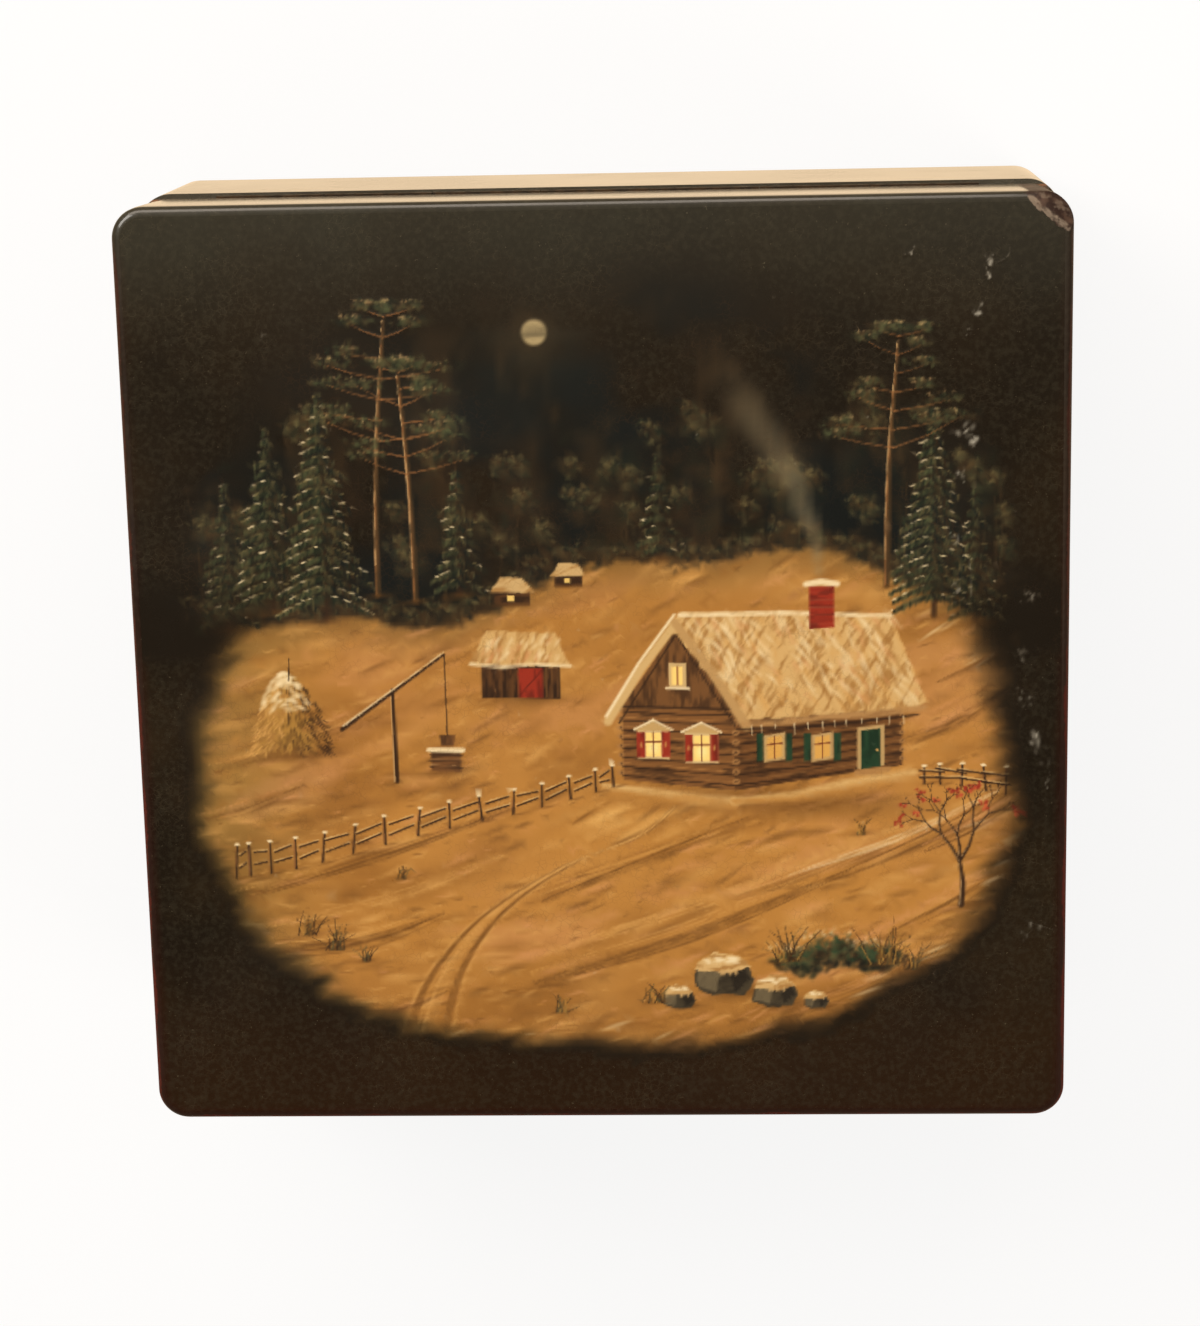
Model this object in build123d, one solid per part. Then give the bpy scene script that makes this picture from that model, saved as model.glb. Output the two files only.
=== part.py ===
from build123d import *
import math
import os

# A square papier-mache lacquer box with a hinged lid, closed.
# The underside rests on Z = 0, the origin is the middle of the underside, the lid's picture reads
# upright with +Y at its top, and the hinge runs along X inside the rear wall (+Y).

# Box, in millimetres
box_width = 150.0
box_depth = 151.0
corner_radius = 5.0
wall_thickness = 5.0
inner_corner_radius = 2.5

# Body
body_height = 32.6
base_thickness = 4.0
base_edge_radius = 1.5

# Lid
lid_wall_height = 20.3
lid_panel_thickness = 4.0
lid_edge_radius = 1.5
lid_draw_in = 0.6
rim_gap = 0.1
rim_edge_radius = 0.8

# Locating hoop, glued inside the body wall and standing above its rim
hoop_thickness = 1.8
hoop_inner_corner_radius = 1.2
lip_height = 3.0
lip_clearance = 0.3
lip_edge_chamfer = 0.5

# Hinge barrel, let into a groove along the rear of the seam
hinge_length = 124.0
body_knuckles = 4
knuckle_gap = 0.15
barrel_radius = 1.5
barrel_clearance = 0.2
axis_inset = 1.8
pin_radius = 0.6
pin_clearance = 0.03
pin_end_chamfer = 0.15
lid_stop_angle = 96.0

# Hinge leaves, each glued into a saw cut in the rim
leaf_thickness = 0.7
leaf_height = 9.0
leaf_clearance = 0.05

# Brads that pin the leaves, driven from inside
brad_radius = 0.5
brad_tail = 1.2
brad_drop = 6.0
brad_clearance = 0.04

# How far a cut runs past the face that it opens
overrun = 5.0

# Places that follow from the sizes
rim_z = body_height
lid_rim_z = rim_z + rim_gap
lid_panel_z = lid_rim_z + lid_wall_height
lid_top_z = lid_panel_z + lid_panel_thickness
rear_y = box_depth / 2
inner_y = rear_y - wall_thickness
axis_y = rear_y - axis_inset
axis_z = rim_z + rim_gap / 2
inner_width = box_width - 2 * wall_thickness
inner_depth = box_depth - 2 * wall_thickness
leaf_y = axis_y - barrel_radius + leaf_thickness / 2
hinge_cells = 2 * body_knuckles - 1
cell_length = hinge_length / hinge_cells


def board(width, depth, radius, low, high):
    """An upright slab with rounded corners, from one height to another."""
    outline = RectangleRounded(width, depth, radius)
    return Pos(0, 0, low) * extrude(outline, high - low)


def wound_wall(low, high, draw_in=0.0):
    """The wall that goes once round the box, with the tighter corners of its form inside.

    Its outside may be drawn in towards its lower end."""
    foot = RectangleRounded(box_width - 2 * draw_in, box_depth - 2 * draw_in, corner_radius - draw_in)
    head = RectangleRounded(box_width, box_depth, corner_radius)
    outside = loft([Pos(0, 0, low) * foot, Pos(0, 0, high) * head], ruled=True)
    return outside - board(inner_width, inner_depth, inner_corner_radius, low, high)


def top_face(solid):
    return solid.faces().sort_by(Axis.Z)[-1]


def bottom_face(solid):
    return solid.faces().sort_by(Axis.Z)[0]


def along_hinge(profile, start, length):
    """A profile drawn in Y and Z about the hinge's axis, drawn out along X."""
    face = Plane(origin=(start, axis_y, axis_z), x_dir=(0, 1, 0), z_dir=(1, 0, 0))
    return extrude(face * profile, length)


def strip(low_y, high_y, low_z, high_z):
    """A rectangle about the hinge's axis, by its sides."""
    middle = Pos((low_y + high_y) / 2, (low_z + high_z) / 2)
    return middle * Rectangle(high_y - low_y, high_z - low_z)


def knuckle_starts(first):
    """Where every second knuckle starts, from the first or the second one."""
    return [-hinge_length / 2 + k * cell_length for k in range(first, hinge_cells, 2)]


def body_knuckle_starts():
    return knuckle_starts(0)


def lid_knuckle_starts():
    return knuckle_starts(1)


def hinge_recess(side):
    """What a rim gives up for the hinge: 1 for the lid's, above the axis, -1 for the body's."""
    reach = axis_inset + overrun
    rise = reach * math.tan(math.radians(lid_stop_angle / 2))
    bevel = Polygon((0, 0), (reach, -rise), (reach, rise), align=None)
    groove = along_hinge(bevel, -box_width / 2, box_width)
    length = hinge_length + 2 * barrel_clearance
    channel = Circle(barrel_radius + barrel_clearance)
    half_slot = leaf_thickness / 2 + leaf_clearance
    slot_y = leaf_y - axis_y
    slot_ends = sorted((0, side * (leaf_height + leaf_clearance)))
    slot = strip(slot_y - half_slot, slot_y + half_slot, *slot_ends)
    return groove + along_hinge(channel + slot, -length / 2, length)


def brad(x, side, spare):
    """A brad filed flush with the wall's inner face or, with some to spare, the hole for it."""
    place = Plane(
        origin=(x, inner_y, axis_z + side * brad_drop), x_dir=(1, 0, 0), z_dir=(0, 1, 0)
    )
    reach = leaf_y + leaf_thickness / 2 + brad_tail - inner_y
    return extrude(place * Circle(brad_radius + spare), reach + spare)


def brads(side, spare=0.0):
    """The row of brads through one leaf, one beside the middle of each of its knuckles."""
    starts = body_knuckle_starts() if side < 0 else lid_knuckle_starts()
    return [brad(x + cell_length / 2, side, spare) for x in starts]


def hinge_leaf(side):
    """One leaf and its knuckles: -1 for the body's, with the end knuckles, and 1 for the lid's."""
    starts = body_knuckle_starts() if side < 0 else lid_knuckle_starts()
    low = -barrel_radius
    high = low + leaf_thickness
    far = side * leaf_height
    near = side * (barrel_radius + barrel_clearance)
    plate = strip(low, high, *sorted((near, far)))
    curl = Circle(barrel_radius) + strip(low, high, *sorted((0, far)))
    curl -= Circle(pin_radius + pin_clearance)
    leaf = along_hinge(plate, -hinge_length / 2, hinge_length)
    for start in starts:
        leaf += along_hinge(curl, start + knuckle_gap / 2, cell_length - knuckle_gap)
    for hole in brads(side, brad_clearance):
        leaf -= hole
    return leaf


def body_wall():
    """The body's wall, its rim softened outside and cut away behind for the hinge."""
    wall = wound_wall(base_thickness, rim_z)
    wall = fillet(top_face(wall).outer_wire().edges(), rim_edge_radius)
    return wall - hinge_recess(-1) - brads(-1, brad_clearance)


def base_board():
    """The bottom board, glued under the wall, its lower edge rounded all round."""
    base = board(box_width, box_depth, corner_radius, 0, base_thickness)
    return fillet(bottom_face(base).edges(), base_edge_radius)


def locating_hoop():
    """The thin inner hoop, whose lip stands above the rim and centres the lid."""
    lip_top_z = rim_z + lip_height
    glued = board(inner_width, inner_depth, inner_corner_radius, base_thickness, rim_z)
    lip = board(
        inner_width - 2 * lip_clearance, inner_depth - 2 * lip_clearance,
        inner_corner_radius - lip_clearance, rim_z, lip_top_z,
    )
    inside = board(
        inner_width - 2 * hoop_thickness, inner_depth - 2 * hoop_thickness,
        hoop_inner_corner_radius, base_thickness, lip_top_z,
    )
    ring = glued + lip - inside
    return chamfer(top_face(ring).edges(), lip_edge_chamfer)


def lid_wall():
    """The lid's wall, drawn in to its rim, which is softened outside and cut away behind for the hinge."""
    wall = wound_wall(lid_rim_z, lid_panel_z, lid_draw_in)
    wall = fillet(bottom_face(wall).outer_wire().edges(), rim_edge_radius)
    return wall - hinge_recess(1) - brads(1, brad_clearance)


def lid_panel():
    """The lid's board, glued on top of the lid wall, its upper edge rounded all round."""
    panel = board(box_width, box_depth, corner_radius, lid_panel_z, lid_top_z)
    return fillet(top_face(panel).edges(), lid_edge_radius)


def hinge_pin():
    """The wire that runs through every knuckle."""
    wire = along_hinge(Circle(pin_radius), -hinge_length / 2, hinge_length)
    return chamfer(wire.edges().filter_by(GeomType.CIRCLE), pin_end_chamfer)


parts = {
    "body_wall": body_wall(),
    "base_board": base_board(),
    "locating_hoop": locating_hoop(),
    "lid_wall": lid_wall(),
    "lid_panel": lid_panel(),
    "body_hinge_leaf": hinge_leaf(-1),
    "lid_hinge_leaf": hinge_leaf(1),
    "hinge_pin": hinge_pin(),
    "body_leaf_brads": Compound(brads(-1)),
    "lid_leaf_brads": Compound(brads(1)),
}

os.makedirs("parts", exist_ok=True)
for name, shape in parts.items():
    export_step(shape, f"parts/{name}.step")
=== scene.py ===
import bpy
import math
import numpy as np
from mathutils import Matrix, Vector


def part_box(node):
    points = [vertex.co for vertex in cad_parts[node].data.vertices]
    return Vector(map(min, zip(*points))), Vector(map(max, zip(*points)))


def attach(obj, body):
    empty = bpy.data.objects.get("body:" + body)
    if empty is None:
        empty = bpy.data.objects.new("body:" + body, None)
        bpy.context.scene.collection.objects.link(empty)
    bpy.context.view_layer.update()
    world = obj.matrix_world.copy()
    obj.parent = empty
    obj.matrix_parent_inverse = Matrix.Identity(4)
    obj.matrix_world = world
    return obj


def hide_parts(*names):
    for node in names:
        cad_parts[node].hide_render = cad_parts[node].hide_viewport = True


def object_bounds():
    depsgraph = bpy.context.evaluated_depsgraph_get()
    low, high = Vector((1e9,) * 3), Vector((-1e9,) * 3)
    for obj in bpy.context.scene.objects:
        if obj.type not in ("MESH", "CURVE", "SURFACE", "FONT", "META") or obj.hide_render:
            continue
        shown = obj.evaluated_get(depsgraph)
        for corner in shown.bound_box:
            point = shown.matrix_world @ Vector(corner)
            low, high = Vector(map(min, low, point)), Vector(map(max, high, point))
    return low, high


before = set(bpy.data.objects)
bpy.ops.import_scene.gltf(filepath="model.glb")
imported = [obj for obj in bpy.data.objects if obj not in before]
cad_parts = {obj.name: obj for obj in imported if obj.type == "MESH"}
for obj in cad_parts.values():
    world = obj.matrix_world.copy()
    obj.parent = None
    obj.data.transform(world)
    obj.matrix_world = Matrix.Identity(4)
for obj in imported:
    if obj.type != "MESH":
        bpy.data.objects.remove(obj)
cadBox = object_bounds()

mm = 0.001

# Everything but the picture is in metres, in the frame of the CAD model: +Z up through the lid,
# +Y towards the hinge. The picture is painted in millimetres from the middle of the lid.


def pick(obj):
    bpy.ops.object.select_all(action="DESELECT")
    obj.select_set(True)
    bpy.context.view_layer.objects.active = obj


# The mesh that was just added, with its name and its sizes along X, Y and Z.
def added(name, sizes):
    obj = bpy.context.object
    obj.name = name
    obj.scale = sizes
    pick(obj)
    bpy.ops.object.transform_apply(location=True, rotation=True, scale=True)
    return obj


def rgb(color):
    return np.array(color) / 255


def linear(color):
    c = np.asarray(color, float)
    return np.where(c <= 0.04045, c / 12.92, ((c + 0.055) / 1.055) ** 2.4)


def tone(color):
    return (*(float(v) for v in linear(rgb(color))), 1.0)


# A shader node with its settings, and its sockets set to values or joined to other sockets.
def put(tree, kind, links=None, **settings):
    node = tree.nodes.new("ShaderNode" + kind)
    for key, value in settings.items():
        setattr(node, key, value)
    for key, value in (links or {}).items():
        if isinstance(value, bpy.types.NodeSocket):
            tree.links.new(value, node.inputs[key])
        else:
            node.inputs[key].default_value = value
    return node


# A node in the tree of the sockets that feed it.
def join(kind, links, **settings):
    tree = next(v.id_data for v in links.values() if isinstance(v, bpy.types.NodeSocket))
    return put(tree, kind, links, **settings)


def calc(operation, a, b, clamp=False):
    return join("Math", {0: a, 1: b}, operation=operation, use_clamp=clamp).outputs[0]


def times(value, *factors):
    for factor in factors:
        value = calc("MULTIPLY", value, factor)
    return value


def plus(a, b):
    return calc("ADD", a, b)


def minus(a, b):
    return calc("SUBTRACT", a, b)


def most(value, *others):
    for other in others:
        value = calc("MAXIMUM", value, other)
    return value


def vector(operation, *values):
    outputs = join("VectorMath", dict(enumerate(values)), operation=operation).outputs
    return outputs["Value" if operation in ("LENGTH", "DOT_PRODUCT") else "Vector"]


def axes(place):
    return join("SeparateXYZ", {0: place}).outputs


# A smooth step of a value, from a at low to b at high.
def rise(value, low, high, a=0.0, b=1.0):
    links = {"Value": value, "From Min": low, "From Max": high, "To Min": a, "To Max": b}
    return join("MapRange", links, interpolation_type="SMOOTHSTEP").outputs[0]


# Soft noise from 0 to 1 with patches that many millimetres wide.
def noise(place, cell, detail=4.0, rough=0.55):
    links = {"Vector": place, "Scale": 1 / (cell * mm), "Detail": detail, "Roughness": rough}
    return join("TexNoise", links).outputs["Fac"]


# Patches that many millimetres wide: a where the noise is below low, b where it is above high.
def patches(place, cell, low, high, detail=4.0, a=0.0, b=1.0, rough=0.55):
    return rise(noise(place, cell, detail, rough), low, high, a, b)


# Noise about 0, up and down by half of the amount.
def wobble(place, cell, amount, detail):
    return times(minus(noise(place, cell, detail), 0.5), amount)


def blend(share, a, b):
    return join("Mix", {0: share, 6: a, 7: b}, data_type="RGBA").outputs[2]


def mixShaders(share, a, b):
    return join("MixShader", {0: share, 1: a, 2: b}).outputs[0]


def glowing(tree, kind, color, strength):
    return put(tree, kind, {"Color": color, "Strength": strength}).outputs[0]


# A node group with number inputs, which the caller fills; also gives its inputs and the place.
def newGroup(name, **ins):
    tree = bpy.data.node_groups.new(name, "ShaderNodeTree")
    for label, value in ins.items():
        socket = tree.interface.new_socket(label, in_out="INPUT", socket_type="NodeSocketFloat")
        socket.default_value = value
    start = tree.nodes.new("NodeGroupInput").outputs
    return tree, start, put(tree, "TexCoord").outputs["Object"]


# Gives a group its outputs, each a colour or a number.
def closeGroup(tree, **results):
    for label, value in results.items():
        kind = "NodeSocketColor" if value.type == "RGBA" else "NodeSocketFloat"
        tree.interface.new_socket(label, in_out="OUTPUT", socket_type=kind)
    end = tree.nodes.new("NodeGroupOutput").inputs
    for label, value in results.items():
        tree.links.new(value, end[label])


# A node group placed in a material or in another group, by its name.
def placed(tree, name, **links):
    return put(tree, "Group", links, node_tree=bpy.data.node_groups[name]).outputs


def newMaterial(name):
    mat = bpy.data.materials.new(name)
    mat.use_nodes = True
    mat.node_tree.nodes.clear()
    return mat, mat.node_tree


# The camera looks almost straight down on the lid from a little behind it

camera = {
    "focalPixels": 3155.2,             # of a picture 1326 pixels on its long side
    "longSidePixels": 1326,
    "filmSide": 36.0,
    "clip": (0.01, 20),                # m
    "turn": (12.949, -2.845, 1.255),   # degrees: tilt, sideways lean, roll
    "shift": (-0.21, -1.785),          # mm across and up, in the camera's own view
    "distance": 505.56,                # mm from the lens to the lid
}


def addCamera():
    data = bpy.data.cameras.new("camera")
    data.lens = camera["focalPixels"] / camera["longSidePixels"] * camera["filmSide"]
    data.sensor_width = camera["filmSide"]
    data.clip_start, data.clip_end = camera["clip"]
    tilt, lean, roll = (math.radians(a) for a in camera["turn"])
    view = Matrix.Rotation(roll, 3, "Z") @ Matrix.Rotation(tilt, 3, "X") @ Matrix.Rotation(lean, 3, "Y")
    seen = Vector((*camera["shift"], -camera["distance"])) * mm
    back = view.transposed()
    place = back @ -seen + Vector((0, 0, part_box("lid_panel")[1][2]))
    cam = bpy.data.objects.new("camera", data)
    cam.matrix_world = Matrix.Translation(place) @ back.to_4x4()
    bpy.context.collection.objects.link(cam)
    bpy.context.scene.camera = cam


addCamera()
bpy.context.scene.view_settings.view_transform = "Standard"
print("camera placed")


# The studio: a pale floor, a warm room that is dim overhead in reflections, three soft lamps

white = (1, 1, 1, 1)
studio = {
    "floorSize": 6.0,
    "floorColor": (0.86, 0.83, 0.79, 1),
    "floorWhite": 0.85,                # how far the floor is lifted to white for the camera
    "floorInGloss": (1.0, 0.75, 0.48, 1),
    "glossNear": 0.3,                  # how bright gloss sees the floor beside the box
    "glossFar": 0.25,                  # and further than glossReach away
    "glossReach": 0.13,
    "glossBehind": 0.7,                # what a lit strip of floor just behind the box adds
    "behindFrom": (0.07, 0.075),       # where along Y that strip fades in
    "behindReach": (0.012, 0.045),     # how far from the box it starts to fade and where it ends
    "worldColor": (1.0, 0.95, 0.88, 1),
    "worldLight": 0.45,
    "glossColor": (1.0, 0.86, 0.62, 1),
    "overheadReach": (-0.06, -0.125),  # how far forwards gloss has to look to see the front instead
    "overheadGlow": 0.45,              # what gloss sees straight above
    "frontGlow": 0.03,                 # what it sees a little way down towards the front
    "horizonGlow": 0.12,               # what it sees at the sides
    "horizonTop": (0.3, 0.85),         # how steeply gloss has to look to see past the sides
    "lampAim": (0, 0, 0.03),
}
lamps = [                              # name, place, size, watts, color, whether gloss sees it
    ("keySoftbox", (-0.75, 0.55, 0.7), (0.5, 0.5), 8.0, (1.0, 0.95, 0.88), True),
    ("fillSoftbox", (0.9, -0.5, 0.6), (0.6, 0.6), 5.0, (1.0, 0.97, 0.93), False),
    ("rearPanel", (-0.15, 0.95, 0.4), (1.2, 0.5), 10.0, (1.0, 0.88, 0.76), True),
]


def addFloor():
    bpy.ops.object.select_all(action="DESELECT")
    bpy.ops.mesh.primitive_plane_add(size=studio["floorSize"], location=(0, 0, 0))
    floor = bpy.context.object
    floor.name = "floor"
    mat, tree = newMaterial("paleFloor")
    path = put(tree, "LightPath").outputs
    place = put(tree, "TexCoord").outputs["Object"]
    past = vector("SUBTRACT", vector("ABSOLUTE", place), (cadBox[1][0], cadBox[1][1], 0))
    away = vector("LENGTH", vector("MAXIMUM", past, (0, 0, 0)))
    near = rise(away, 0.0, studio["glossReach"], studio["glossNear"], studio["glossFar"])
    strip = rise(away, *studio["behindReach"], studio["glossBehind"], 0.0)
    glow = plus(near, times(rise(axes(place)["Y"], *studio["behindFrom"]), strip))
    diffuse = put(tree, "BsdfDiffuse", {"Color": studio["floorColor"]}).outputs[0]
    bright = glowing(tree, "Emission", white, 1.0)
    warm = glowing(tree, "Emission", studio["floorInGloss"], glow)
    seen = mixShaders(times(path["Is Camera Ray"], studio["floorWhite"]), diffuse, bright)
    mirrored = mixShaders(most(path["Is Glossy Ray"], path["Is Transmission Ray"]), seen, warm)
    put(tree, "OutputMaterial", {"Surface": mirrored})
    floor.data.materials.append(mat)


def addWorld():
    world = bpy.data.worlds.new("studio")
    bpy.context.scene.world = world
    world.use_nodes = True
    tree = world.node_tree
    tree.nodes.clear()
    path = put(tree, "LightPath").outputs
    way = axes(put(tree, "TexCoord").outputs["Generated"])
    front = rise(way["Y"], *studio["overheadReach"], studio["overheadGlow"], studio["frontGlow"])
    above = rise(way["Z"], *studio["horizonTop"])
    glow = put(tree, "Mix", {"Factor": above, "A": studio["horizonGlow"], "B": front}).outputs[0]
    room = glowing(tree, "Background", studio["worldColor"], studio["worldLight"])
    gloss = glowing(tree, "Background", studio["glossColor"], glow)
    lit = mixShaders(path["Is Glossy Ray"], room, gloss)
    seen = mixShaders(path["Is Camera Ray"], lit, glowing(tree, "Background", white, 1.0))
    put(tree, "OutputWorld", {"Surface": seen})


def addLamps():
    for name, place, size, watts, color, gleams in lamps:
        data = bpy.data.lights.new(name, "AREA")
        data.energy = watts
        data.shape = "RECTANGLE"
        data.size, data.size_y = size
        data.color = color
        light = bpy.data.objects.new(name, data)
        aim = (Vector(studio["lampAim"]) - Vector(place)).to_track_quat("-Z", "Y")
        light.matrix_world = Matrix.Translation(place) @ aim.to_matrix().to_4x4()
        light.visible_glossy = gleams
        bpy.context.collection.objects.link(light)


addFloor()
addWorld()
addLamps()
print("studio ready")


# Finishes, as node groups that every board of the box shares

lacquer = {
    "dark": (27, 20, 12),          # mottled between these two
    "brown": (43, 31, 17),
    "topOlive": (41, 38, 28),      # towards the hinge
    "frontBrown": (42, 25, 11),    # towards the front
    "grain": (64, 58, 44),
    "crack": (96, 84, 62),
    "dust": (120, 108, 84),
    "red": (120, 28, 16),
    "redDark": (98, 22, 14),
    "rubbed": (82, 24, 12),        # the undercoat, where an outer edge has rubbed through
    "edgeStain": (44, 12, 6),      # beside that, where it shows through the black
    "seam": (122, 74, 38),         # the worn rims at the seam
    "brownFrom": (0.05, 0.0),      # m along Y, where the brown patches come to their full strength
    "oliveFrom": (0.052, 0.076),   # m along Y, where the olive sets in
    "frontFrom": (-0.04, -0.074),  # and the front's brown
    "frontStrength": 0.85,
    "grainStrength": 0.22,
    "dustStrength": 0.25,
    "stainStrength": 0.7,
    "seamStrength": 0.9,
    "seamHalf": (0.65, 0.95),      # mm from the seam to where its wear ends, less a ragged part
    "seamRagged": 0.5,             # mm
    "rearFrom": (0.0742, 0.0746),  # m along Y, the rear wall, whose rims are worn all along
    "rubbedReach": 0.5,
    "rubbedWide": (0.45, 2.0),     # mm, times that, where the edges are rubbed least and most
    "rubbedStrength": 0.92,
    "stainWide": (0.3, 2.8),       # mm inwards from the edge, where the stain fades
    "edgeHigh": (1.0, 2.6),        # mm up or down from the edge, where both fade
    "edgeEnds": (0.066, 0.073),    # m along Y, where both end before the hinge
    "edgeDull": 0.5,               # how far handling has dulled the lid's rounded edge
    "crackCell": 0.95,             # mm
    "crackWidth": 0.07,
    "crackStrength": 0.1,
    "crackWarp": 0.0009,           # m that the cracks wander
    "roughness": 0.18,
    "bareRoughness": 0.3,          # what bare board adds to that
    "coatRoughness": 0.09,
    "specular": 0.3,
    "bumpStrength": 0.5,
    "lidLean": 1.2,                # mm, shades the lid's wall upright, though it is drawn in to its rim
}
lidBoard = {
    "cornerRadius": 5.0,
    "cornerSteps": 14,
    "edgeRadius": 1.5,
    "edgeSteps": 6,
    "underTop": 0.05,              # mm that the board keeps under the picture
    # three points of the knocked face
    "knock": [(67.0, 75.5, 57.0), (75.0, 68.8, 57.0), (73.6, 74.1, 54.8)],
    "knockCuts": 5,
    # mm from the corner that its rubbed patch spreads: across, along, down
    "wornReach": (8.0, 6.0, 24.0),
    # mm, where the rear of the lid is rubbed bare: rightwards, rearwards, upwards
    "wornFrom": (67.6, 74.6, 32.65),
    "roughness": 0.12,
    "bare": (76, 55, 42),
    "bareDark": (44, 26, 18),
    # pale scuffs on the knocked face, and the painted highlight along its top edge
    "scuffAndEdgeHighlight": (150, 132, 112),
    "smoothAngle": 28,             # degrees
}
metal = {
    "barrel": (64, 46, 28),
    "barrelDark": (34, 25, 17),
    "wire": (120, 112, 100),
    "metallic": 0.85,
    "barrelRoughness": 0.5,
    "wireRoughness": 0.42,
    "polished": 0.08,              # how much less rough the metal is where it is handled
    "dulled": 0.1,                 # and how much more elsewhere
}


# Fine age cracks: where they are, and how strong they are there.
def crackGroup():
    tree, start, place = newGroup("ageCracks", Cell=1.0)
    warp = put(tree, "TexNoise", {"Vector": place, "Scale": 1 / (2.2 * mm), "Detail": 3.0})
    bent = vector("MULTIPLY", warp.outputs["Color"], (lacquer["crackWarp"],) * 3)
    links = {"Vector": vector("ADD", place, bent), "Scale": calc("DIVIDE", 1 / mm, start["Cell"])}
    cells = join("TexVoronoi", links, feature="DISTANCE_TO_EDGE").outputs["Distance"]
    width = lacquer["crackWidth"] / lacquer["crackCell"]
    line = rise(cells, width * 0.3, width, 1.0, 0.0)
    broken = times(patches(place, 14.0, 0.42, 0.62), patches(place, 1.7, 0.4, 0.55, 2.0))
    closeGroup(tree, Mask=times(line, broken))


# Where the top and bottom edges have rubbed through on their outer side, but not along the hinge.
def edgeGroup():
    tree, start, place = newGroup("rubbedEdges", Reach=0.5)
    low, high = (Vector(c) for c in cadBox)
    middle, half = (low + high) / 2, (high - low) / 2
    radius = lidBoard["cornerRadius"] * mm
    size = vector("ABSOLUTE", vector("SUBTRACT", place, tuple(middle)))
    past = vector("SUBTRACT", size, (half.x - radius, half.y - radius, 0))
    outer = vector("MAXIMUM", vector("MULTIPLY", past, (1, 1, 0)), (0, 0, 0))
    inward = minus(radius, vector("LENGTH", outer))
    patchy = plus(noise(place, 11.0), times(noise(place, 0.8, 3.0), 0.35))
    wide = times(rise(patchy, 0.42, 0.95, *(w * mm for w in lacquer["rubbedWide"])), start["Reach"])
    near = rise(calc("DIVIDE", inward, wide), 0.7, 1.15, 1.0, 0.0)
    off = minus(half.z, axes(size)["Z"])
    ends = rise(off, *(h * mm for h in lacquer["edgeHigh"]), 1.0, 0.0)
    depth = axes(place)["Y"]
    front = times(rise(depth, *lacquer["edgeEnds"], 1.0, 0.0), rise(depth, 0.05, -0.03, 0.35, 1.0))
    stain = rise(inward, *(w * mm for w in lacquer["stainWide"]), 1.0, 0.0)
    closeGroup(tree, Mask=times(near, ends, front), Stain=times(stain, ends, front))


# 1 on the faces inside the box, which are red.
def insideGroup():
    tree, _, place = newGroup("insideFaces")
    x, y, z = axes(vector("ABSOLUTE", place))
    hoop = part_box("locating_hoop")[1]
    across = times(*(calc("LESS_THAN", a, edge + 0.2 * mm) for a, edge in ((x, hoop[0]), (y, hoop[1]))))
    above = calc("GREATER_THAN", z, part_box("base_board")[1][2] - 0.1 * mm)
    under = calc("LESS_THAN", z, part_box("lid_panel")[0][2] + 0.1 * mm)
    closeGroup(tree, Mask=times(across, times(above, under)))


# A point on the knocked corner's face, and the way that the face looks.
def knockPlane():
    a, b, c = (Vector(p) * mm for p in lidBoard["knock"])
    normal = (b - a).cross(c - a).normalized()
    return a, normal if normal.z > 0 else -normal


# The knocked corner: where the bare board shows, its colour, pale scuffs and a painted highlight along its
# top edge.
def knockGroup():
    tree, _, place = newGroup("knockedCorner")
    x, y, z = axes(place)
    point, normal = knockPlane()
    far = vector("DOT_PRODUCT", vector("SUBTRACT", place, tuple(point)), tuple(normal))
    jag = wobble(place, 1.6, 0.8 * mm, 4.0)
    facet = rise(plus(far, jag), -0.34 * mm, -0.2 * mm)
    knockTop = lidBoard["knock"][0][2]
    away = vector("SUBTRACT", place, (cadBox[1][0], cadBox[1][1], knockTop * mm))
    share = vector("MULTIPLY", away, tuple(1 / (r * mm) for r in lidBoard["wornReach"]))
    spread = rise(plus(vector("LENGTH", share), wobble(place, 5.0, 0.9, 5.0)), 0.8, 1.0, 1.0, 0.0)
    worn = times(spread, calc("LESS_THAN", z, (knockTop - 0.4) * mm))
    fromX, fromY, fromZ = lidBoard["wornFrom"]
    sideways = rise(plus(x, wobble(place, 1.2, 2.4 * mm, 3.0)), fromX * mm, (fromX + 0.5) * mm)
    behind = rise(y, fromY * mm, (fromY + 0.5) * mm)
    worn = most(worn, times(sideways, behind, calc("GREATER_THAN", z, fromZ * mm)))
    patch = patches(place, 2.6, 0.45, 0.66)
    bare = blend(patch, tone(lidBoard["bareDark"]), tone(lidBoard["bare"]))
    # A painted highlight: a pale line along the top edge of the knocked face, over pale scuffs in patches.
    rim = rise(plus(z, jag), (knockTop - 0.5) * mm, (knockTop - 0.2) * mm)
    rim = times(rim, patches(place, 2.4, 0.42, 0.56, 3.0))
    pale = times(most(rim, times(patches(place, 1.5, 0.5, 0.66, 3.0), 0.4)), 0.6, facet)
    color = blend(pale, bare, tone(lidBoard["scuffAndEdgeHighlight"]))
    closeGroup(tree, Mask=most(facet, worn), Color=color)


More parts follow.
